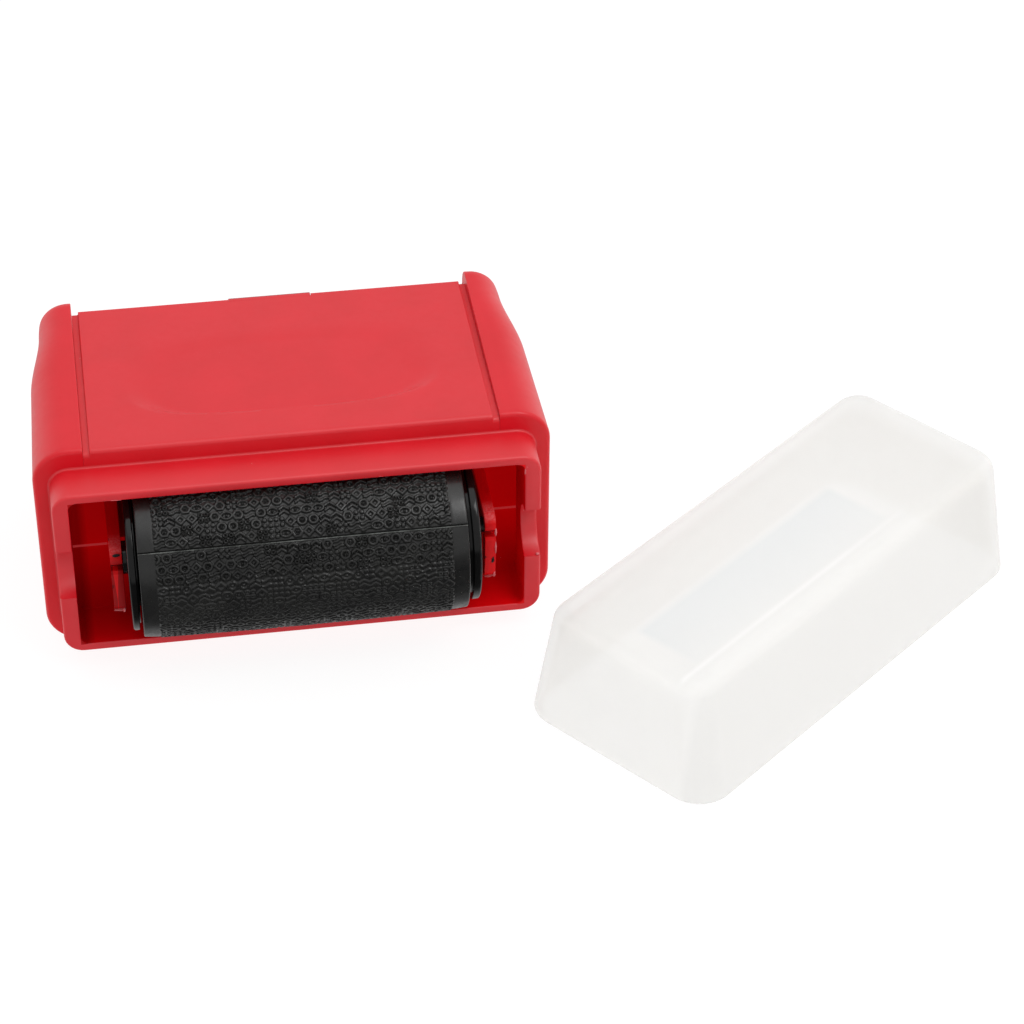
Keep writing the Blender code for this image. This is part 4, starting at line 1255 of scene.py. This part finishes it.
@dataclass
class Cartridge:
    """The refill's frame: two arms, the bridge behind the ink roller, the rear cover and the two pins."""

    middle_z: float = MIDDLE_Z
    inner_x: float = 23.9
    arm_x: tuple[Pair, Pair] = ((-24.95, -23.35), (24.45, 25.95))
    top: float = 18.6
    bottom: float = 7.8
    front: float = 0.62
    bow: float = 0.7
    bow_reach: float = 2.2
    rear: float = 37.1
    corner: float = 1.5
    seat_y: float = STAMP_AXLE[0]
    seat_radius: float = 1.2
    slot_half: float = 0.5
    hole_y: float = INK_AXLE[0]
    hole_radius: float = 1.3
    ease: float = 0.12
    bridge_y: Pair = (27.45, 28.95)
    cover_y: Pair = (37.2, 38.7)
    cover_half: float = 25.9
    cover_half_height: float = 12.95
    tab_half: float = 5.66
    tab_front: float = 38.3
    tab_low: float = 28.0
    tab_top: float = 30.4
    tab_rear: float = 39.6
    stamp_pin: float = 1.0
    ink_pin: float = 1.0
    blots: Crumbs = (
        ((-24.1, 0.72, 18.0), (0.46, 0.1, 0.22)),
        ((25.55, 0.85, 11.6), (0.22, 0.08, 0.6)),
    )
    burrs: Crumbs = (
        ((-24.2, 1.9, 7.95), (0.7, 0.25, 0.14)),
        ((-23.6, 1.5, 8.2), (0.16, 0.2, 0.3)),
        ((25.2, 1.9, 7.95), (0.7, 0.25, 0.14)),
        ((25.8, 1.3, 8.8), (0.14, 0.2, 0.6)),
        ((25.9, 0.7, 13.6), (0.12, 0.14, 0.9)),
        ((25.9, 0.7, 16.2), (0.14, 0.16, 0.6)),
    )

    def outline(self) -> np.ndarray:
        """The arm's side view as (y, z) points, counter-clockwise from its rear middle.

        The front edge bows forward: it falls back by the square of the height from the pin, up to the
        bow at the lower end.
        """
        mid = self.middle_z
        reach = math.sqrt(self.seat_radius**2 - self.slot_half**2)
        start = math.atan2(self.slot_half, -reach)
        arc = np.linspace(start, 0.0, 13)
        seat = np.stack((self.seat_y + self.seat_radius * np.cos(arc), mid + self.seat_radius * np.sin(arc)), axis=1)
        turns = np.linspace(QUARTER, np.pi, 9)
        bow = self.corner * np.stack((np.cos(turns), np.sin(turns)), axis=1)
        front_top = bow + (self.front + self.corner, self.top - self.corner)
        spread = np.linspace(0, 1, 12)[1:-1]
        along = np.stack((self.rear + (front_top[0, 0] - self.rear) * spread, np.full(10, self.top)), axis=1)
        lip = np.array(((self.front, mid + self.slot_half + 0.35), (self.front + 0.3, mid + self.slot_half)))
        upper = np.concatenate((((self.rear, mid), (self.rear, self.top)), along, front_top, lip, seat[:-1]))
        flip = upper[1:][::-1] * (1, -1) + (0, 2 * mid)
        deeper, start_z = 2 * mid - self.bottom - self.top, mid - self.slot_half - 0.4
        flip[:, 1] -= deeper * np.clip((start_z - flip[:, 1]) / 0.3, 0, 1)
        end = np.array(((self.seat_y + self.seat_radius, mid),))
        path = np.concatenate((upper, end, flip))
        steps = np.roll(path, -1, axis=0) - path
        split = int(np.argmax(np.abs(steps[:, 1]) * (path[:, 0] < self.front + 0.01)))
        share = np.linspace(0, 1, 14)[1:-1, None]
        path = np.concatenate((path[: split + 1], path[split] + steps[split] * share, path[split + 1:]))
        height = np.abs(path[:, 1] - mid) / (mid - self.bottom)
        path[:, 0] += np.where(path[:, 0] < self.bow_reach, self.bow * height**2, 0.0)
        return path

    def arm(self, low: float, high: float) -> Solid:
        """One arm: its outline and the ink pin's hole, carried through its thickness."""
        turns = np.linspace(np.pi, -np.pi, 32, endpoint=False)
        circle = np.stack((np.cos(turns), np.sin(turns)), axis=1)
        hole = self.hole_radius * circle + (self.hole_y, self.middle_z)
        return extruded(self.outline(), hole, low, high, self.ease)

    def pin(self, radius: float, y: float) -> Solid:
        """A pin between the two arms' outer faces: rings along X, with a small chamfer at both ends."""
        turns = np.linspace(0, 2 * np.pi, 40, endpoint=False)
        low, high = self.arm_x[0][0], self.arm_x[1][1]
        stations = ((low, 0.72), (low, 0.85), (low + 0.2, 1.0), (high - 0.2, 1.0), (high, 0.85), (high, 0.72))
        return lidded(np.array([around_x(x, radius * share, turns, (y, self.middle_z)) for x, share in stations]))

    def assemble(self, bench: Bench, finishes: Finishes) -> None:
        """Builds and dresses the cartridge's pieces."""
        body, mid, inside = Body.CARTRIDGE, self.middle_z, self.inner_x + 0.3
        (near, far), (front, rear) = self.bridge_y, self.cover_y
        bridge = block((-inside, near, self.bottom), (inside, far, self.top), 0.15, 0.15, 0)
        arms = [self.arm(low, high) for low, high in self.arm_x]
        bench.add(body, "cartridge_arms", [*arms, bridge], finishes.cartridge, "cartridge_frame")
        half, half_height, tab_half = self.cover_half, self.cover_half_height, self.tab_half
        cover = block((-half, front, mid - half_height), (half, rear, mid + half_height), 0.35, 0.6)
        tab = block((-tab_half, self.tab_front, self.tab_low), (tab_half, self.tab_rear, self.tab_top), 0.12, 0.12)
        bench.add(body, "cover_with_tab", [cover, tab], finishes.cover, "rear_cover")
        bench.add(body, "arm_burrs", shreds(self.burrs, 20), finishes.burr, "cartridge_frame")
        bench.add(body, "ink_marks", shreds(self.blots, 40), finishes.core, "cartridge_frame")
        bench.add(body, "stamp_pin", [self.pin(self.stamp_pin, self.seat_y)], finishes.core, "stamp_axle")
        bench.add(body, "ink_pin", [self.pin(self.ink_pin, self.hole_y)], finishes.steel, "ink_axle")


@dataclass
class StampRoller:
    """The printing roller: a barrel, a patterned rubber sheet with a seam, and two glossy end discs."""

    axis: Pair = STAMP_AXLE
    middle_radius: float = 11.25
    crown: float = 0.2
    relief: float = 0.28
    margin_radius: float = 10.8
    margin_ease: float = 0.4
    end_radius: float = 10.65
    half_length: float = 21.4
    band_half: float = 19.2
    bore: float = 8.65
    core_outer: float = 8.35
    core_inner: float = 6.85
    cell: float = 1.48
    pitch: float = 1.52
    stroke: float = 0.16
    snug: float = 0.9
    bevel: float = 0.13
    step: float = 0.09
    seam_degrees: float = 40.0
    seam_width: float = 0.07
    seam_depth: float = 0.16
    seam_clear: float = 0.22
    seam_lip: float = 0.08
    lip_place: float = 0.16
    lip_width: float = 0.07
    swell: float = 0.02
    swell_length: float = 4.0
    filled: tuple[float, float, float, float] = (3.2, 6.2, 21.0, 27.0)
    filled_share: float = 0.5
    strips: int = 6
    seed: int = 11
    figures: int = 8
    drawn: int = 64
    left_rim: Pair = (21.8, 22.75)
    right_rim: Pair = (22.0, 23.1)

    def motif(self, kind: np.ndarray, u: np.ndarray, v: np.ndarray) -> np.ndarray:
        """How far a point is outside the nearest stroke of its cell's figure, in millimetres.

        Every figure is a distance formula: to a circle, a square set on its corner, a hexagon, four
        dots, a pair of waves, a lens of two arcs, four small rings or two chevrons.

        Args:
            kind: The figure of each point's cell.
            u: Place across the cell, from its middle.
            v: Place along the row's pitch, from the cell's middle.

        Returns:
            The distance, negative inside a stroke.
        """
        w = self.stroke
        u, v = u * self.snug, v * self.snug
        reach = np.hypot(u, v)
        au, av = np.abs(u), np.abs(v)
        ring = np.minimum(np.abs(reach - 0.48) - w, reach - 0.13)
        diamond = np.abs((au + av) * 0.7071 - 0.37) - w
        six = np.maximum(au * 0.866 + av * 0.5, av)
        hexagon = np.minimum(np.abs(six - 0.48) - w, reach - 0.12)
        dots = np.hypot(au - 0.34, av - 0.34) - 0.25
        swell = 0.15 * np.sin(u * (2 * np.pi / self.cell))
        waves = np.maximum(np.minimum(np.abs(v - 0.36 - swell), np.abs(v + 0.36 - swell)) - w, au - 0.62)
        lens = np.minimum(np.abs(np.hypot(u, av + 0.35) - 0.78) - w * 0.9, reach - 0.13)
        petals = np.abs(np.hypot(au - 0.34, av - 0.34) - 0.21) - w * 0.6
        fold = v + 0.7 * au
        folds = np.minimum(np.abs(fold - 0.55), np.abs(fold + 0.05)) * 0.82 - w
        chevrons = np.maximum(folds, np.maximum(au, av) - 0.64)
        stack = np.stack((ring, diamond, hexagon, dots, waves, lens, petals, chevrons))
        return np.take_along_axis(stack, kind[None], axis=0)[0]

    def grid(self) -> tuple[int, float]:
        """How many rows of cells go round between the two sides of the seam, and their pitch."""
        run = 2 * np.pi * self.middle_radius - 2 * self.seam_clear
        rows = int(run / self.pitch)
        return rows, run / rows

    def rise(self, x: np.ndarray, s: np.ndarray) -> np.ndarray:
        """The pattern's height from 0 to 1 at a place along the roller and round it from the seam.

        Rows lie round the roller at a pitch, and every other row is set on by half a cell. What would
        lie in the margins or in the seam is cut off, and each stroke's side falls over a narrow bevel.
        """
        rows, pitch = self.grid()
        row_place = (s - self.seam_clear) / pitch
        row = np.floor(row_place).astype(int)
        col_place = x / self.cell + 0.5 * (row % 2)
        col = np.floor(col_place).astype(int)
        u = (col_place - col - 0.5) * self.cell
        v = (row_place - row - 0.5) * self.pitch
        random = np.random.default_rng(self.seed)
        kinds = random.integers(0, self.figures, size=(rows, self.drawn))
        kind = kinds[np.clip(row, 0, rows - 1), col % self.drawn]
        outside = np.abs(x) - self.band_half
        beside = np.maximum(self.seam_clear - s, s - (self.seam_clear + rows * pitch))
        far = np.maximum(self.motif(kind, u, v), np.maximum(outside, beside))
        return smooth_step(0.5 - far / self.bevel)

    def sleeve_strips(self) -> list[Solid]:
        """The rubber sheet in strips that meet on bare ground.

        The radius at (x, s) is the ground's, which crowns in the band and falls away in the margins,
        plus the pattern's height, minus the seam's groove and plus a thin lip just below it.
        """
        girth = 2 * np.pi * self.middle_radius
        rows, pitch = self.grid()
        inner_cuts = [self.seam_clear + pitch * round(rows * k / self.strips) for k in range(1, self.strips)]
        cuts = [0.0, *inner_cuts, girth]
        edge = np.array((0.0, 0.03, 0.1, 0.2))
        inward = np.linspace(self.half_length - 0.4, self.band_half + 0.5, 5)
        margin = np.concatenate((self.half_length - edge, inward))
        foot = self.band_half + np.array((0.32, 0.18, 0.08))
        band = np.linspace(self.band_half, -self.band_half, int(2 * self.band_half / self.step))
        x = np.concatenate((margin, foot, band, -foot[::-1], -margin[::-1]))
        ends = np.abs(x)
        ground = self.middle_radius - self.relief - self.crown * np.minimum((x / self.band_half) ** 2, 1)
        slope = np.interp(ends, (self.band_half, self.half_length), (self.margin_radius, self.end_radius))
        blend = smooth_step((ends - self.band_half) / self.margin_ease)
        ground = ground * (1 - blend) + slope * blend
        ground -= np.interp(self.half_length - ends, edge, (0.2, 0.09, 0.02, 0.0))
        strips = []
        for low, high in zip(cuts, cuts[1:]):
            s = np.linspace(low, high, int((high - low) / self.step))
            if low == 0.0:
                s = np.concatenate(((0.0, 0.03, 0.06), s[1:]))
            if high == girth:
                s = np.concatenate((s[s < girth - 0.5], girth - np.linspace(0.48, 0, 13)))
            ss, xx = np.meshgrid(s, x, indexing="ij")
            below = girth - ss
            start, full, wane, end = self.filled
            fill = smooth_step((below - start) / (full - start))
            fill *= 1 - smooth_step((below - wane) / (end - wane))
            radius = ground[None] + self.relief * (1 - self.filled_share * fill) * self.rise(xx, ss)
            radius -= self.seam_depth * np.exp(-((np.minimum(ss, below) / self.seam_width) ** 2))
            radius += self.seam_lip * np.exp(-(((below - self.lip_place) / self.lip_width) ** 2))
            radius += self.swell * ripple(xx / self.swell_length, ss / self.swell_length, 3.0)
            angle = np.radians(self.seam_degrees) + ss / self.middle_radius
            turn = np.pi - angle
            inner = around_x(x[[0, -1]], self.bore, turn[:, :1], self.axis)
            strips.append(slab(around_x(xx, radius, turn, self.axis), inner))
        return strips

    def flange(self, side: Side) -> Solid:
        """An end disc turned from its cross-section: plug, collar, one wide round-edged rim and boss."""
        near, far = self.left_rim if side is Side.LEFT else self.right_rim
        corners = [
            (23.35, 1.2), (23.35, 2.2), (far, 2.2), (far, 9.75), (near, 9.75), (near, 8.9),
            (21.6, 8.9), (21.6, 6.55), (17.7, 6.55), (17.7, 1.2),
        ]
        radii = [0.08, 0.12, 0.1, 0.36, 0.16, 0.05, 0.05, 0.05, 0.1, 0.05]
        return spun(corners, radii, self.axis, 128, 6, side.value)

    def assemble(self, bench: Bench, finishes: Finishes) -> None:
        """Builds and dresses the printing roller's pieces."""
        body = Body.STAMP_ROLLER
        core = barrel(self.half_length, self.core_outer, self.core_inner, 0.15, self.axis, 96)
        bench.add(body, "roller_barrel", [core], finishes.core, "stamp_core")
        for number, strip in enumerate(self.sleeve_strips(), 1):
            bench.add(body, f"printing_rubber_{number}", [strip], finishes.rubber, "stamp_sleeve")
        for side in Side:
            name = side.name.lower()
            bench.add(body, f"{name}_end_disc", [self.flange(side)], finishes.disc, f"stamp_flange_{name}")


@dataclass
class InkRoller:
    """The felt roller that inks the rubber: felt on a barrel with two hubs."""

    axis: Pair = INK_AXLE
    felt_radius: float = 5.5
    felt_bore: float = 3.7
    half_length: float = 20.0
    core_outer: float = 3.4
    core_inner: float = 1.8
    hub_radius: float = 4.8
    hub_x: Pair = (20.3, 21.5)
    boss_radius: float = 2.4
    boss_x: float = 23.6
    bore: float = 1.3
    felt_edge: float = 0.4
    fuzz: float = 0.06
    waves_along: float = 2.2
    waves_round: float = 12.0

    def felt(self) -> Solid:
        """The felt's tube, whose outer side is uneven by a small ripple along and round it."""
        half, outer, bore, ease, steps = self.half_length, self.felt_radius, self.felt_bore, self.felt_edge, 5
        corners = np.array(((half, outer), (-half, outer), (-half, bore), (half, bore)))
        shape = rounded(corners, np.full(4, ease), steps)
        x = np.linspace(half - ease, ease - half, 120)[1:-1]
        side = np.stack((x, np.full(len(x), outer)), axis=1)
        profile = np.concatenate((shape[: steps + 1], side, shape[steps + 1:]))
        angles = np.linspace(0, 2 * np.pi, 128, endpoint=False)
        along, turn = np.meshgrid(profile[:, 0], angles, indexing="ij")
        waves = ripple(along * self.waves_along, turn * self.waves_round, 1.0)
        rough = self.fuzz * (waves - 1) * (profile[:, 1:] > outer - 0.1)
        return looped(around_x(along, profile[:, 1:] + rough, turn, self.axis))

    def hub(self, side: Side) -> Solid:
        """An end hub turned from its cross-section."""
        (near, far), boss, bore = self.hub_x, self.boss_radius, self.bore
        corners = [
            (self.boss_x, bore), (self.boss_x, boss), (far, boss),
            (far, self.hub_radius), (near, self.hub_radius), (near, bore),
        ]
        return spun(corners, [0.06, 0.15, 0.1, 0.25, 0.1, 0.05], self.axis, 72, side=side.value)

    def assemble(self, bench: Bench, finishes: Finishes) -> None:
        """Builds and dresses the ink roller's pieces."""
        body = Body.INK_ROLLER
        bench.add(body, "felt_tube", [self.felt()], finishes.felt, "ink_felt")
        core = barrel(self.half_length, self.core_outer, self.core_inner, 0.1, self.axis, 64)
        bench.add(body, "felt_barrel", [core], finishes.core, "ink_core")
        for side in Side:
            name = side.name.lower()
            bench.add(body, f"{name}_felt_hub", [self.hub(side)], finishes.core, f"ink_hub_{name}")


@dataclass
class Cap:
    """The snap cap: one tapered shell that stands on its open rim."""

    rim_half: Pair = (34.5, 15.65)
    top_half: Pair = (33.15, 12.55)
    rim_corner: float = 4.9
    top_corner: float = 3.5
    least_corner: float = 0.3
    height: float = 17.7
    edge: float = 2.0
    inner_edge: float = 3.0
    wall: float = 1.1
    lip: float = 0.35
    trim: float = 0.05
    turn_degrees: float = 39.8

    def ring(self, z: float, draw: float) -> np.ndarray:
        """A ring at a height: the sizes go evenly from the rim's to the top's, drawn in by a distance."""
        share = z / self.height
        half = [low + (high - low) * share - draw - self.trim for low, high in zip(self.rim_half, self.top_half)]
        corner = self.rim_corner + (self.top_corner - self.rim_corner) * share - draw
        ring = rectangle(*half, max(corner, self.least_corner), 12, 40, np.linspace(-0.98, 0.98, 16))
        return np.stack((ring[:, 0], ring[:, 1], np.full(len(ring), z)), axis=-1)

    def side(self, wall: float) -> list[np.ndarray]:
        """Rings up one side of the wall: straight, then a quarter circle, then in over the closed face."""
        top = self.height - wall
        edge = self.edge if wall == 0 else self.inner_edge
        rows = [self.ring(z, wall) for z in np.linspace(self.lip, top - edge, 12)]
        for turn in np.linspace(0, QUARTER, 12)[1:]:
            rows.append(self.ring(top - edge * (1 - math.sin(turn)), wall + edge * (1 - math.cos(turn))))
        last = rows[-1]
        middle = last.mean(axis=0)
        for share in (0.85, 0.6, 0.3, 0.1):
            rows.append(middle + (last - middle) * share)
        return rows

    def shell(self, bench: Bench) -> Solid:
        """The closed shell from its outer pole, down over the rim's round lip, and up to its inner pole."""
        outer, inner = self.side(0.0), self.side(self.wall)
        rim = []
        for turn in np.linspace(0, np.pi, 9)[1:-1]:
            across = self.wall / 2 * (1 - math.cos(turn))
            rim.append(self.ring(self.lip * (1 - math.sin(turn)), across))
        rings = np.array(outer[::-1] + rim + inner)
        turn = math.radians(self.turn_degrees)
        x = rings[..., 0] * math.cos(turn) - rings[..., 1] * math.sin(turn)
        y = rings[..., 0] * math.sin(turn) + rings[..., 1] * math.cos(turn)
        place = bench.cap_middle - bench.origin
        return lidded(np.stack((x, y, rings[..., 2]), axis=-1) + place)

    def assemble(self, bench: Bench, finishes: Finishes) -> None:
        """Builds and dresses the cap."""
        bench.add(Body.CAP, "snap_cap", [self.shell(bench)], finishes.milky, "cap")


@dataclass
class Studio:
    """The floor, the soft lights and the camera."""

    camera_place: Triple = (-24.4356618, -333.356860, 284.330800)
    azimuth: float = 0.155880649
    elevation: float = 0.664709670
    roll: float = 0.00665209243
    lens: float = 114.468
    sensor: float = 36.0
    sky: float = 0.73
    horizon: float = 0.58
    under: float = 0.12
    flank: float = 0.3
    zenith: float = 0.7
    sky_direction: Triple = (0.3, 0.78, 0.52)
    key_power: float = 1.5
    key_gleam: float = 0.15
    key_size: float = 0.32
    key_place: Triple = (0.30, -0.30, 0.74)
    floor_half: float = 900.0

    def floor(self) -> None:
        """A flat pale floor that reaches past the camera's view."""
        places = np.linspace(-self.floor_half, self.floor_half, 25)
        xs, ys = np.meshgrid(places, places, indexing="ij")
        top = np.stack((xs, ys, np.zeros_like(xs)), axis=-1)
        solid = walled(top, top - (0, 0, 5.0))
        mesh = bpy.data.meshes.new("pale_floor")
        mesh.from_pydata(solid.points * MM, [], solid.quads.tolist())
        finish = Finish(
            "floor_white", (0.12, 0.12, 0.12), (0.11, 0.11, 0.11), (0.75, 0.85), (60.0, 3.0, 0.35, 0.65),
            (15.0, 2.0, 0.7), layers=((1.5, 2.0, 0.01),),
            lustre=(("emission_color", (1.0, 1.0, 1.0)), ("emission_strength", 0.91)),
        )
        mesh.materials.append(finish.build())
        floor = bpy.data.objects.new("pale_floor", mesh)
        floor.visible_glossy = False
        bpy.context.scene.collection.objects.link(floor)
        floor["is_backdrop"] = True

    def light(self) -> None:
        """A dome that is brightest above, behind and at both flanks, and one small soft box in front.

        The dome's strength goes from the horizon's to the sky's with the cosine between a direction
        and the sky's brightest one. Low in front it falls to the dark, which only reflections see. A
        lobe far out to each side adds the flanks' light, and a small one overhead the glint on the rubber.
        """
        world = bpy.data.worlds.new("white_dome")
        world.use_nodes = True
        nodes, eased = Nodes(world.node_tree, "Generated"), "SMOOTHSTEP"
        x, y, z = (nodes.part(name) for name in "XYZ")
        toward = nodes.add("VectorMath", {0: nodes.place, 1: self.sky_direction}, "Value", operation="DOT_PRODUCT")
        sky = toward.span(-0.25, 0.75, self.horizon, self.sky, eased)
        shadow = y.span(-0.3, 0.2, 1.0, 0.0, eased) * z.span(-0.12, 0.02, 1.0 - self.under, 0.0, eased)
        flanks = abs(x).span(0.3, 0.65, 0.0, self.flank, eased) * y.span(-0.6, -0.1, 0.0, 1.0, eased)
        level = sky * (1.0 - shadow) + flanks + z.span(0.88, 0.97, 0.0, self.zenith, eased)
        background = world.node_tree.nodes["Background"].inputs
        nodes.feed((1.0, 1.0, 1.0), background["Color"])
        nodes.feed(level, background["Strength"])
        bpy.context.scene.world = world
        lamp = bpy.data.lights.new("key_box", "AREA")
        lamp.shape = "SQUARE"
        lamp.size = self.key_size
        lamp.energy = self.key_power
        lamp.specular_factor = self.key_gleam
        box = bpy.data.objects.new("key_box", lamp)
        box.location = self.key_place
        down = -np.array(self.key_place)
        tilt = math.acos(-down[2] / np.linalg.norm(down))
        box.rotation_euler = (tilt, 0.0, math.atan2(down[1], down[0]) - QUARTER)
        bpy.context.scene.collection.objects.link(box)

    def camera(self, bench: Bench) -> None:
        """The camera: its forward, right and up directions from azimuth and elevation, turned by the roll."""
        az, el, roll = self.azimuth, self.elevation, self.roll
        forward = np.array((math.sin(az) * math.cos(el), math.cos(az) * math.cos(el), -math.sin(el)))
        level = np.array((math.cos(az), -math.sin(az), 0.0))
        upright = np.cross(level, forward)
        right = math.cos(roll) * level + math.sin(roll) * upright
        up = -math.sin(roll) * level + math.cos(roll) * upright
        place = (np.array(self.camera_place) + bench.origin) * MM
        lens = bpy.data.cameras.new("photo_camera")
        lens.sensor_width = self.sensor
        lens.lens = self.lens
        lens.clip_start = 0.01
        camera = bpy.data.objects.new("photo_camera", lens)
        matrix = np.eye(4)
        matrix[:3, 0], matrix[:3, 1], matrix[:3, 2], matrix[:3, 3] = right, up, -forward, place
        camera.matrix_world = Matrix(matrix.tolist())
        bpy.context.scene.collection.objects.link(camera)
        bpy.context.scene.camera = camera

    def assemble(self, bench: Bench) -> None:
        """Sets the whole studio up."""
        self.floor()
        self.light()
        self.camera(bench)
        bpy.context.scene.view_settings.view_transform = "Standard"


def corners(bounds: tuple) -> list[list[float]]:
    """A box's corners as plain lists."""
    return [[float(value) for value in corner] for corner in bounds]


def main() -> None:
    """Builds every piece in order, then the studio."""
    logging.basicConfig(level=logging.INFO, format="%(name)s: %(message)s")
    cad_box = corners(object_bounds())
    bench = Bench.from_frame()
    finishes = Finishes(bench.origin, bench.cap_middle)
    for part in (Housing(), Cartridge(), StampRoller(), InkRoller(), Cap()):
        LOG.info("building %s", type(part).__name__)
        part.assemble(bench, finishes)
    Studio().assemble(bench)
    {"cad": cad_box, "visual": corners(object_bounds())}


if __name__ == "__main__":
    main()
